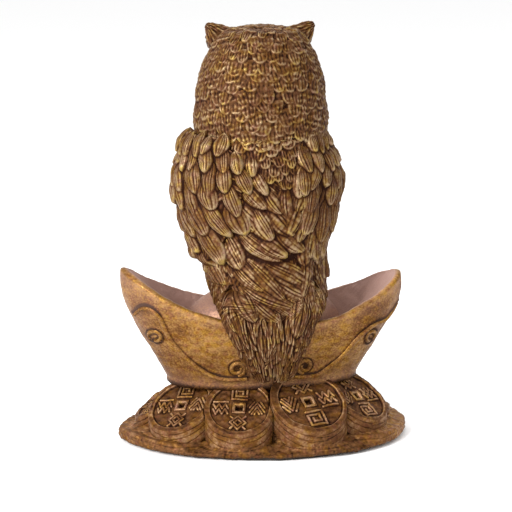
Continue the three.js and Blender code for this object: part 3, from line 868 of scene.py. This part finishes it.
def build_foot(node, side):
    """Three scaly toes with claws, side by side over the front of the dome."""
    root_x, root_y, reach = 6.0, -6.2, 5.6

    def scales(place, turn):
        return 0.22 * np.abs(np.sin(26 * place)) ** 0.5 * smoothstep(0.86, 0.78, place)

    toes = []
    for k, spread in enumerate((-3.5, 0.0, 3.5)):
        path = []
        for u, radius in TOE:
            x, y = side * (root_x + spread * max(u, 0)), root_y - reach * u
            lift = 0.9 * radius + 0.5 * math.sin(math.pi * min(max(u, 0), 1))
            path.append((x, y, dome_height(x, max(y, -0.985 * DOME_HALF[1])) + lift))
        radii = [radius for _, radius in TOE]
        toes.append(tube_piece(f"{node}_toe_{k}", path, radii, 70, 40, scales, base_paint=0.52))
    hand_over(join(toes, f"owl_{node}"), "foot_resin", node)


def join(objects, name):
    bpy.ops.object.select_all(action="DESELECT")
    for piece in objects:
        piece.select_set(True)
    bpy.context.view_layer.objects.active = objects[0]
    bpy.ops.object.join()
    objects[0].name = name
    return objects[0]


# ------------------------------------------------------------------ ingot
HULL_RAISED = 0.9  # how far the ingot's foot is raised over the CAD's
HULL = {
    "foot": node_box("ingot_hull")[0][2] + HULL_RAISED, "foot_length": 26.0, "foot_depth": 13.0,
    "rim_length": 39.2, "rim_depth": 17.5, "rim_low": 34.5, "rim_rise": 12.0, "rim_curve": 2.3,
    "belly": 1.3, "lean": 1.7, "wall": 1.9, "floor": 28.0, "floor_length": 25.0, "floor_depth": 12.3,
}
OUTER_ROWS, LIP_ROWS = 96, 9


def rim_height(t):
    rise = HULL["rim_rise"] * np.abs(np.cos(t)) ** HULL["rim_curve"]
    return HULL["rim_low"] + rise + HULL["lean"] * np.cos(t)


def wall_point(t, s, grow=0.0):
    """The ingot's outer wall: t goes round it from its left tip, s up it from foot (0) to rim (1)."""
    f = s + HULL["belly"] * s * s * (1 - s)
    length = HULL["foot_length"] + (HULL["rim_length"] - HULL["foot_length"]) * f + grow
    depth = HULL["foot_depth"] + (HULL["rim_depth"] - HULL["foot_depth"]) * f + grow
    z = HULL["foot"] + (rim_height(t) - HULL["foot"]) * s
    return np.stack([length * np.cos(t), depth * np.sin(t), z + 0 * t], -1)


def wall_at(x, z, side, grow=0.0):
    """The wall point at a given x and z, on the rear (side 1) or the front (side -1)."""
    t, s = math.pi / 2, 0.5
    for _ in range(40):
        s = min(max((z - HULL["foot"]) / (rim_height(t) - HULL["foot"]), 0.0), 1.0)
        reach = wall_point(0.0, s, grow)[0]
        t = math.acos(min(max(x / reach, -1), 1))
    return wall_point(t, s, grow) * [1, side, 1]


# The raised line on the wall from the curl beside the tail to the hook under the tip, as (x, z).
SCROLL_LINES = {
    1: [(12.3, 19.3), (15.8, 20.2), (19, 22.2), (21.7, 24.4), (24.4, 27.3), (27, 30.6), (28.8, 34.4),
        (30, 37), (32, 38.9), (34.4, 38.9), (36.1, 36.4)],
    -1: [(12.9, 19.4), (15.9, 21.2), (18.9, 23.4), (21.2, 25.7), (24, 29), (26.4, 30.9), (29.3, 32.5),
         (32.9, 33), (35.6, 34.8), (37.4, 36.8)],
}
CORNERS = [(end, side) for end in (1, -1) for side in (1, -1)]
SCROLL_EYELETS = {1: (30.9, 31.0), -1: (28.8, 28.9)}
CURL = {"x": 9.3, "z": 22.6, "radius": 2.0}


def scroll_path(end, side, lift):
    """The raised line's points on the wall, from beside the tail to its hook."""
    start = [(6.5, 19.6), (9.4, 19.3)]
    return np.array([wall_at(end * x, z, side, lift) for x, z in start + SCROLL_LINES[end]])


def curl_path(end, side, lift):
    """The spiral that stands on the line beside the tail, from its outer end inwards."""
    turns = np.linspace(0, 1, 26)
    angle = math.radians(-100) - 2 * math.pi * 1.3 * turns
    radius = CURL["radius"] * (1.1 - 0.62 * turns)
    return np.array([
        wall_at(end * (CURL["x"] + r * math.cos(a)), CURL["z"] + r * math.sin(a), side, lift)
        for a, r in zip(angle, radius)
    ])


def eyelet_path(end, side, lift):
    """A small hook that curls back off the line, round a hole."""
    x, z = SCROLL_EYELETS[end]
    turns = np.linspace(-0.9, 1.45 * math.pi, 14)
    ring = [(x + 1.5 * math.cos(a), z + 1.6 * math.sin(a)) for a in turns]
    return np.array([wall_at(end * u, v, side, lift) for u, v in ring])


def nearest(points, path, steps=160):
    """Distance from each point to a smooth line through the path's points."""
    flat = points.reshape(-1, 3)
    best = np.full(len(flat), 1e9)
    for spot in smooth_line(path, np.linspace(0, 1, steps)):
        best = np.minimum(best, ((flat - spot) ** 2).sum(1))
    return np.sqrt(best).reshape(points.shape[:-1])


def scroll_groove_shadow(grid):
    """The hollows along the scrolls' lines, rings and hooks, 0 to 1, which the hull also paints dark as
    painted shadow beside the raised lines and in the middle of each curl.
    """
    groove = np.zeros(grid.shape[:2])
    for end, side in CORNERS:
        centre = np.array([wall_at(end * CURL["x"] + d, CURL["z"], side) for d in (-0.4, 0.0, 0.4)])
        groove = np.maximum.reduce([
            groove,
            bump(nearest(grid, scroll_path(end, side, 0.0) + [0, 0, 0.75]), 0.15, 0.48),
            0.6 * bump(nearest(grid, curl_path(end, side, 0.0)), 0.8, 0.3),
            0.55 * smoothstep(1.5, 0.7, nearest(grid, centre)),
            0.7 * bump(nearest(grid, eyelet_path(end, side, 0.0)), 0.8, 0.3),
        ])
    return groove


def hull_grid(t):
    """The ingot's skin, from under its foot up the outer wall, over the lip and down to its floor."""
    bottom = wall_point(t, np.array([[0.0]]), -0.6) * [1, 1, 0] + [0, 0, HULL["foot"]]
    outer = wall_point(t, np.linspace(0.015, 0.985, OUTER_ROWS)[:, None])
    half = HULL["wall"] / 2
    lip = [
        wall_point(t, np.array([[1.0]]), half * (math.cos(a) - 1)) + [0, 0, 0.55 * half * math.sin(a)]
        for a in np.linspace(0.0, math.pi, LIP_ROWS)
    ]
    s = np.linspace(0.97, 0, 34)[:, None]
    length, depth = (
        HULL[f"floor_{way}"] + (HULL[f"rim_{way}"] - HULL["wall"] - HULL[f"floor_{way}"]) * s
        for way in ("length", "depth")
    )
    inner_z = HULL["floor"] + (rim_height(t) - HULL["floor"]) * s
    inner = np.stack([length * np.cos(t), depth * np.sin(t), inner_z], -1)
    return np.concatenate([bottom, outer, *lip, inner])


def build_hull():
    t = full_turn(700)[None]
    grid = hull_grid(t)
    outside = np.zeros((len(grid), 1))
    outside[1:1 + OUTER_ROWS] = 1
    groove = scroll_groove_shadow(grid) * outside
    relief = -0.38 * groove + rough(grid, (0.14, 6, 31), (0.05, 1.6, 32), (0.02, 0.7, 35))
    # Painted shadow: the lowest band of the outer wall, where it meets the heap of coins, is set in a
    # little and painted darker.
    crevice = smoothstep(1.9, 0.5, grid[..., 2] - HULL["foot"]) * outside
    grid = raised(grid, relief - 0.5 * crevice)
    height = (grid[..., 2] - HULL["foot"]) / (rim_height(t) - HULL["foot"])
    # Painted reflection and shadow: towards the rim, the foot and the two tips the outer wall is tinted
    # mauve and painted a little darker.
    edges = 0.08 * smoothstep(0.8, 1.0, height) + 0.12 * smoothstep(0.26, 0.0, height) * (1 - crevice)
    edges = edges + 0.1 * smoothstep(28, 38, np.abs(grid[..., 0]))
    paint = 0.62 + 0.08 * lumps(grid, 9, 33) + 0.05 * lumps(grid * [0.5, 0.5, 2], 1.6, 34)
    # Painted shadow in the scrolls' hollows, at the wall's foot and towards its edges.
    paint = paint - 1.0 * groove - 0.5 * crevice - 0.08 * edges
    # Painted highlight along the lip of the rim.
    crest = np.zeros(paint.shape)
    crest[OUTER_ROWS - 3:OUTER_ROWS + LIP_ROWS + 1] = 1
    # The inner walls get the painted mauve reflection and a little painted shadow.
    inside = np.zeros(paint.shape)
    inside[OUTER_ROWS + LIP_ROWS - 2:] = 1
    painted_sheen = np.clip(blur(inside, 2, True) * 0.85 + edges * outside, 0, 0.9)
    paint = paint + 0.14 * blur(crest, 3, True) - 0.05 * inside
    piece = write_mesh("ingot_boat", grid, np.clip(paint, 0, 1), painted_sheen=painted_sheen)
    hand_over(piece, "ingot_resin", "ingot_hull")


def build_dome():
    """The smooth dome that the owl stands on, with painted shadow where it meets the ingot's floor and
    the painted mauve reflection all over.
    """
    polar, turn = polar_grid(math.pi * 0.52, 0.01, 90, 200)
    grid = np.stack([
        DOME_HALF[0] * np.sin(polar) * np.cos(turn),
        DOME_HALF[1] * np.sin(polar) * np.sin(turn),
        DOME_CENTRE + DOME_RISE * np.cos(polar),
    ], -1)
    grid = raised(grid, rough(grid, (0.12, 4, 41), (0.03, 1.1, 42)))
    # Painted shadow: darker towards where the dome meets the floor.
    paint = 0.5 + 0.14 * lumps(grid, 7, 43) - 0.5 * smoothstep(33, 29, grid[..., 2])
    piece = write_mesh("ingot_crown", grid, np.clip(paint, 0, 1), painted_sheen=0.36)
    hand_over(piece, "ingot_resin", "ingot_dome")


def build_scroll(end, side):
    """The raised line with its ring and its small hook, half sunk in the wall."""
    name = f"scroll_{'rear' if side > 0 else 'front'}_{'left' if end > 0 else 'right'}"
    parts = [
        ("line", scroll_path(end, side, 0.2), [0.6, 0.65, 0.7, 0.7, 0.65, 0.45], 200),
        ("ring", curl_path(end, side, 0.15), [0.5, 0.6, 0.6, 0.55, 0.4], 120),
        ("hook", eyelet_path(end, side, 0.0), [0.35, 0.6, 0.6, 0.4], 60),
    ]
    tubes = [tube_piece(f"{name}_{label}", path, radii, rows, 20, base_paint=0.68)
             for label, path, radii, rows in parts]
    hand_over(join(tubes, f"{name}_relief"), "ingot_resin", name)


# ------------------------------------------------------------------ coins and base
COIN = {
    "thickness": 3.0, "rim": 1.25, "rim_height": 0.62, "bevel": 0.25, "hole": 1.05, "frame": 0.75,
    "skirt": 6.4, "tilt": math.radians(36),
}
COIN_GROUND = SLAB_LO[2] + 1.0
COIN_RING = {"middle": -0.7, "half_length": 27.6, "half_depth": 17.8, "height": 11.5}
# Each coin's angle round the mound, radius, lift, shift along the base, and spin about its own axis.
COINS = {
    "coin_rear_right": (109, 10.8, 1.0, 0.0, 4),
    "coin_front_right": (251, 9.8, 0.9, 0.0, 10),
    "coin_rear_left": (69, 9.4, 0.0, 0.0, 0),
    "coin_front_left": (290, 9.6, 0.1, 0.0, -8),
    "coin_rear_far_right": (150, 9.7, -0.3, 0.0, -12),
    "coin_front_far_right": (216, 9.2, 0.0, 0.0, 15),
    "coin_rear_far_left": (29, 9.7, -0.8, 0.0, 18),
    "coin_front_far_left": (327, 8.6, -1.0, 0.0, -5),
    "coin_right_end": (184, 6.0, -3.0, -3.0, 20),
    "coin_left_end": (357, 6.0, -3.0, 3.0, 30),
}
# Coins whose sunk field isn't in their middle, so that one side of the rim is the broader.
COIN_FIELD_OFF = {"coin_rear_right": 0.5, "coin_rear_left": 0.15, "coin_rear_far_left": -0.2}


def coin_stand(name):
    """A coin's middle, and the directions of its leaning radius, its other radius and its normal."""
    angle, _, lift, shift, _ = COINS[name]
    a = math.radians(angle)
    length, depth = COIN_RING["half_length"], COIN_RING["half_depth"]
    heading = math.atan2(length * math.sin(a), depth * math.cos(a))
    middle = np.array([
        COIN_RING["middle"] + length * math.cos(a) + shift,
        depth * math.sin(a),
        COIN_RING["height"] + lift,
    ])
    c, s = math.cos(heading), math.sin(heading)
    ct, st = math.cos(COIN["tilt"]), math.sin(COIN["tilt"])
    return middle, np.array([[ct * c, ct * s, -st], [-s, c, 0], [st * c, st * s, ct]])


def zigzag(high, low):
    """A stroke that goes down and up across the square."""
    return [(x, (high, low)[k % 2]) for k, x in enumerate((-0.95, -0.6, -0.2, 0.2, 0.6, 0.95))]


def diamond(size):
    return [(-size, 0.0), (0.0, size), (size, 0.0), (0.0, -size), (-size, 0.0)]


def chevron(half, foot, tip):
    return [(-half, foot), (0.0, tip), (half, foot)]


def mirrored(*strokes):
    """The strokes and their mirror images across the square."""
    return [*strokes, *([(-x, y) for x, y in stroke] for stroke in strokes)]


# Ornaments for the four sides of a coin, as strokes in a square from -1 to 1: a square spiral,
# zigzags, a diamond lattice and nested chevrons.
ORNAMENTS = [
    [[(-0.95, -0.95), (-0.95, 0.95), (0.95, 0.95), (0.95, -0.95), (-0.45, -0.95), (-0.45, 0.45),
      (0.45, 0.45), (0.45, -0.4), (0.0, -0.4)]],
    [zigzag(0.95, 0.2), zigzag(0.1, -0.6), [(-0.9, -0.98), (0.9, -0.98)]],
    [diamond(1.0), diamond(0.5), *mirrored([(0.95, 0.95), (0.5, 0.5)], [(0.95, -0.95), (0.5, -0.5)])],
    [chevron(0.95, -0.6, 0.85), chevron(0.65, -0.9, 0.2), chevron(0.3, -0.95, -0.45),
     *mirrored([(0.95, 0.15), (0.4, 0.98)])],
]


def stroke_gap(u, v, stroke):
    """Distance in the plane from each point to a polyline."""
    best = np.full(u.shape, 1e9)
    for (ax, ay), (bx, by) in zip(stroke[:-1], stroke[1:]):
        dx, dy = bx - ax, by - ay
        t = np.clip(((u - ax) * dx + (v - ay) * dy) / (dx * dx + dy * dy), 0, 1)
        best = np.minimum(best, np.hypot(u - ax - t * dx, v - ay - t * dy))
    return best


def coin_face(u, v, radius, spin, seed, off):
    """Height of a coin's face over its sunk field: rim, square frame, hole and ornaments."""
    field = np.hypot(u - 0.3 * off, v - off)
    c, s = math.cos(spin), math.sin(spin)
    u, v = c * u + s * v, c * v - s * u
    r = np.hypot(u, v)
    square = np.maximum(np.abs(u), np.abs(v))
    border = COIN["hole"] + COIN["frame"]
    edge = radius - COIN["rim"] - abs(off)
    rim = np.maximum(smoothstep(edge - 0.2, edge + 0.2, field), smoothstep(radius - 0.9, radius - 0.6, r))
    face = COIN["rim_height"] * rim
    face = np.maximum(face, 0.42 * smoothstep(border + 0.12, border - 0.12, square))
    size = 0.225 * radius
    distance = 0.5 * (border + radius - COIN["rim"])
    for k in range(4):
        a = math.pi / 2 * k
        x = (math.cos(a) * u + math.sin(a) * v - distance) / size
        y = (math.cos(a) * v - math.sin(a) * u) / size
        for stroke in ORNAMENTS[(k + seed) % len(ORNAMENTS)]:
            face = np.maximum(face, 0.45 * smoothstep(0.22, 0.06, stroke_gap(x, y, stroke)))
    return face - 1.7 * smoothstep(COIN["hole"] + 0.1, COIN["hole"] - 0.12, square)


def build_coin(name, above, seed):
    """A tilted coin whose edge runs straight down to the ground, ringed with fine layer lines."""
    _, radius, _, _, spin = COINS[name]
    middle, axes = coin_stand(name)
    half = COIN["thickness"] / 2
    turn = full_turn(260)[None]
    top = np.linspace(0.02, 1, 92)[:, None] * (radius - COIN["bevel"])
    u, v = top * np.cos(turn), top * np.sin(turn)
    flat = np.stack([u, v, 0 * u], -1)
    face = coin_face(u, v, radius, math.radians(spin), seed, COIN_FIELD_OFF.get(name, 0.0))
    face = face + rough(flat, (0.05, 0.9, seed + 50), (0.07, 2.2, seed + 90))
    disc = middle + np.stack([u, v, half - COIN["rim_height"] + face], -1) @ axes
    drop = np.linspace(0, COIN["skirt"], 46)[:, None]
    sway = 0.12 * np.sin(3 * turn + seed)
    lines = sum(bump(drop + sway, place, 0.13) for place in (1.1, 2.5, 4.3))
    groove = 0.17 * lines * (0.7 + 0.5 * np.sin(5 * turn + 2 * seed) ** 2)
    wall = radius - groove
    shoulder = half - COIN["bevel"] + 0 * wall
    edge = middle + np.stack([wall * np.cos(turn), wall * np.sin(turn), shoulder], -1) @ axes
    edge = edge - drop[..., None] * [0, 0, 1]
    edge[..., 2] = np.maximum(edge[..., 2], COIN_GROUND)
    grid = np.concatenate([disc, edge])[::-1]
    paint = np.concatenate([wear_and_shadow_paint(face, True, base=0.4), 0.56 - 1.9 * groove])[::-1]
    for other in above:
        grid = duck_under(grid, other)
    grid = grid + rough(grid, (0.09, 2.5, seed + 60), (0.04, 0.9, seed + 61))[..., None] * axes[2]
    paint = paint + rough(grid, (0.08, 3, seed + 70), (0.05, 0.9, seed + 80))
    piece = write_mesh(f"{name}_struck", grid, np.clip(paint, 0, 1))
    hand_over(piece, "coin_resin", name)


def duck_under(grid, other):
    """Press the part of a coin that lies within another one down under it."""
    middle, axes = coin_stand(other)
    radius = COINS[other][1]
    local = (grid - middle) @ axes.T
    r = np.hypot(local[..., 0], local[..., 1])
    under = -COIN["thickness"] / 2 - 0.3
    weight = smoothstep(radius + 0.35, radius + 0.05, r)
    local[..., 2] += np.minimum(under - local[..., 2], 0) * weight
    return middle + local @ axes


PLAN_POWER = {"left": 1.55, "right": 1.85}
BASE_MIDDLE = (SLAB_LO[0] + SLAB_HI[0]) / 2
SLAB_HALF = (SLAB_HI - SLAB_LO) / 2


def plan_reach(angle, half_length, half_depth):
    """How far the base's plan outline is from its middle, as (x, y)."""
    c, s = np.cos(angle), np.sin(angle)
    power = np.where(c > 0, PLAN_POWER["left"], PLAN_POWER["right"])
    reach = (np.abs(c) ** power + np.abs(s) ** power) ** (-1 / power)
    return np.stack([half_length * reach * c, half_depth * reach * s], -1)


def near_ends(angle):
    """1 at the base's two ends and 0 along its sides."""
    return smoothstep(0.75, 0.5, np.abs(np.sin(angle)))


def scallop_reach(angle):
    """Distance from the base's middle to the outline round all the coins' feet."""
    ct, st = math.cos(COIN["tilt"]), math.sin(COIN["tilt"])
    reaches = []
    for name in COINS:
        middle, axes = coin_stand(name)
        radius = COINS[name][1]
        heading = unit(axes[2][:2])
        out = radius * ct + 0.5 * COIN["thickness"] * st - 0.95 * radius
        centre = middle[:2] + heading * out - [BASE_MIDDLE, 0]
        along = centre[0] * np.cos(angle) + centre[1] * np.sin(angle)
        beside = centre[0] * np.sin(angle) - centre[1] * np.cos(angle)
        span = np.clip((0.97 * radius) ** 2 - beside**2, 0, None)
        reaches.append(np.where(span > 0, along + np.sqrt(span), 0))
    return np.maximum.reduce(reaches)


def between(first, last, count):
    """Rows of points from one ring to another, the last left out."""
    u = np.linspace(0, 1, count, endpoint=False)[:, None, None]
    return first * (1 - u) + last * u


def base_row(angle, radius, z):
    """One ring of points round the base's middle."""
    xy = np.stack([np.cos(angle), np.sin(angle)], -1) * np.broadcast_to(radius, angle.shape)[:, None]
    return np.concatenate([xy + [BASE_MIDDLE, 0], np.broadcast_to(z, angle.shape)[:, None]], -1)[None]


def build_mound():
    """The heap under the coins: a scalloped wall of coin edges and worn ground at its foot and ends, the
    ends brightened with painted light.
    """
    angle = full_turn(1000)
    reach = scallop_reach(angle) - 0.35
    floor_z, wall_z, top_z = SLAB_HI[2] - 0.4, 6.6, 15.6
    foot_rows, wall_rows, top_rows = 18, 22, 24
    bank_rise, bank_run = 4.0, 12.0
    skirt = np.linalg.norm(plan_reach(angle, SLAB_HALF[0] - 1.0, SLAB_HALF[1] - 1.0), axis=-1)
    ends = near_ends(angle)
    outer = reach + 0.1 + np.maximum(skirt - reach - 0.1, 0) * ends
    bank = np.clip((skirt - reach) / bank_run * bank_rise, 0, bank_rise) * ends
    shoulder = floor_z + 0.3 + bank
    crest = np.maximum(wall_z, shoulder + 0.2)
    top = plan_reach(angle, 24.0, 11.5) + [BASE_MIDDLE * 0.5, 0]
    top_ring = np.concatenate([top, np.full((len(angle), 1), top_z)], -1)[None]
    grid = np.concatenate([
        base_row(angle, outer, floor_z - 0.4),
        between(base_row(angle, outer, floor_z), base_row(angle, reach + 0.05, shoulder), foot_rows),
        between(base_row(angle, reach, shoulder), base_row(angle, reach - 0.15, crest), wall_rows),
        between(base_row(angle, reach - 0.3, crest), top_ring, top_rows),
        top_ring,
    ])
    wall = np.zeros((len(grid), 1))
    wall[1 + foot_rows:1 + foot_rows + wall_rows] = 1
    lines = sum(bump(grid[..., 2], place, 0.14) for place in (4.6, 5.7)) * wall
    rocky = bump(angle, math.radians(88), 0.16) * smoothstep(8, 5, grid[..., 2])
    relief = rough(grid, (0.2, 3.2, 61), (0.12, 1.3, 62), (0.07, 0.6, 63)) * (1 - 0.5 * wall)
    relief = relief - 0.2 * lines + 0.4 * rocky * lumps(grid, 1.1, 64)
    paint = wear_and_shadow_paint(relief, True, fine=0.12)
    # Painted light: both ends of the heap are lighter, the -x end the more.
    paint = paint + 0.1 * smoothstep(30, 36, grid[..., 0]) + 0.22 * smoothstep(24, 34, -grid[..., 0])
    grid = raised(grid, relief)
    for name in reversed(COINS):
        grid = duck_under(grid, name)
    hand_over(write_mesh("base_mound", grid, np.clip(paint, 0, 1)), "base_resin", "coin_mound")


def build_slab():
    """The base plate: a smooth outline at its foot, drawn in to the coins' walls above it."""
    angle = full_turn(1000)
    low, high = SLAB_LO[2], SLAB_HI[2]
    plan = np.linalg.norm(plan_reach(angle, SLAB_HALF[0], SLAB_HALF[1]), axis=-1)
    waist = np.minimum(plan, scallop_reach(angle) + 0.1)
    ends = near_ends(angle)
    waist = waist + (plan - waist) * ends
    # Each row's inset, height and share of the way from the plan's outline to the waist.
    profile = [
        (1.2, low - 0.25, 0), (0.5, low - 0.2, 0), (0.2, low + 0.05, 0), (0.0, low + 0.4, 0),
        (0.05, low + 0.9, 0.35), (0.1, low + 1.6, 0.8), (0.15, high - 0.4, 1), (0.5, high + 0.1, 1),
        (4.0, high, 1), (9.0, high - 0.3, 1),
    ]
    rows = [base_row(angle, plan + (waist - plan) * drawn - inset, z) for inset, z, drawn in profile]
    grid = np.concatenate([between(a, b, 5) for a, b in zip(rows[:-1], rows[1:])] + [rows[-1]])
    relief = rough(grid, (0.13, 3.5, 71), (0.06, 0.6, 73)) + 0.09 * lumps(grid * [1, 1, 2.5], 1.3, 72)
    seam = bump(grid[..., 2], low + 1.5 + 0.3 * np.sin(5 * angle), 0.16)
    relief = relief - 0.12 - 0.16 * seam
    # Painted shadow: darker along the bottom of the long sides.
    foot = smoothstep(low + 1.4, low + 0.6, grid[..., 2]) * (1 - ends)
    paint = wear_and_shadow_paint(relief, True, fine=0.12) - 0.12 * foot
    # Painted light: the -x end is lighter.
    paint = paint + 0.18 * smoothstep(26, 36, -grid[..., 0])
    piece = write_mesh("base_plinth", raised(grid, relief), np.clip(paint, 0, 1))
    hand_over(piece, "base_resin", "base_slab")


# ------------------------------------------------------------------ stage
def aim(thing, target):
    thing.rotation_euler = (Vector(target) - thing.location).to_track_quat("-Z", "Y").to_euler()


def build_stage():
    world = bpy.data.worlds.new("studio")
    bpy.context.scene.world = world
    world.use_nodes = True
    wire(world.node_tree.nodes["Background"], {"Color": (1, 1, 1, 1), "Strength": 1.0})
    bpy.ops.mesh.primitive_plane_add(size=60)
    floor = bpy.context.object
    floor.name = "floor"
    pale, shader = new_material("pale_floor")
    wire(shader, {"Base Color": (0.95, 0.95, 0.95, 1), "Roughness": 0.8})
    floor.data.materials.append(pale)
    # Each lamp's place and size in metres, and its power in watts.
    lights = [((0.5, 0.42, 0.4), 0.3, 7.6), ((-0.5, 0.5, 0.25), 0.5, 0.7), ((0.0, -0.3, 0.6), 0.5, 1.5)]
    for k, (place, size, power) in enumerate(lights):
        light = bpy.data.lights.new(f"softbox_{k}", "AREA")
        light.size = size
        light.energy = power
        lamp = bpy.data.objects.new(f"softbox_{k}", light)
        lamp.location = place
        aim(lamp, (0, 0, 0.055))
        bpy.context.scene.collection.objects.link(lamp)
    bpy.context.scene.view_settings.view_transform = "Standard"


# Degrees, metres and, for the lens, millimetres. The aim is how far off the pivot the camera looks.
CAMERA = {
    "azimuth": 170.0, "elevation": 11.0, "distance": 0.56, "pivot": 0.057, "lens": 143.2,
    "aim": (0.0015, -0.001, -0.0066),
}


def build_camera():
    azimuth, elevation = math.radians(CAMERA["azimuth"]), math.radians(CAMERA["elevation"])
    level = math.cos(elevation)
    back = Vector((math.sin(azimuth) * level, -math.cos(azimuth) * level, math.sin(elevation)))
    pivot = Vector((AXIS[0] * MM, 0, CAMERA["pivot"]))
    data = bpy.data.cameras.new("camera")
    data.lens = CAMERA["lens"]
    camera = bpy.data.objects.new("camera", data)
    camera.location = pivot + back * CAMERA["distance"]
    aim(camera, pivot + Vector(CAMERA["aim"]))
    bpy.context.scene.collection.objects.link(camera)
    bpy.context.scene.camera = camera


# ------------------------------------------------------------------ making
build_camera()
build_stage()
build_slab()
build_mound()
names = list(COINS)
for k, coin in enumerate(names):
    build_coin(coin, names[:k], k)
build_hull()
build_dome()
for end, side in CORNERS:
    build_scroll(end, side)
build_torso()
build_tail()
build_head()
for label, side in (("left", 1), ("right", -1)):
    build_wing(f"{label}_wing", side)
    build_tuft(f"{label}_ear_tuft", side)
    build_eye(f"{label}_eye", side)
    build_foot(f"{label}_foot", side)
build_beak()
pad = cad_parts["base_felt"]
pad.data.materials.clear()
pad.data.materials.append(dark_pad_material())
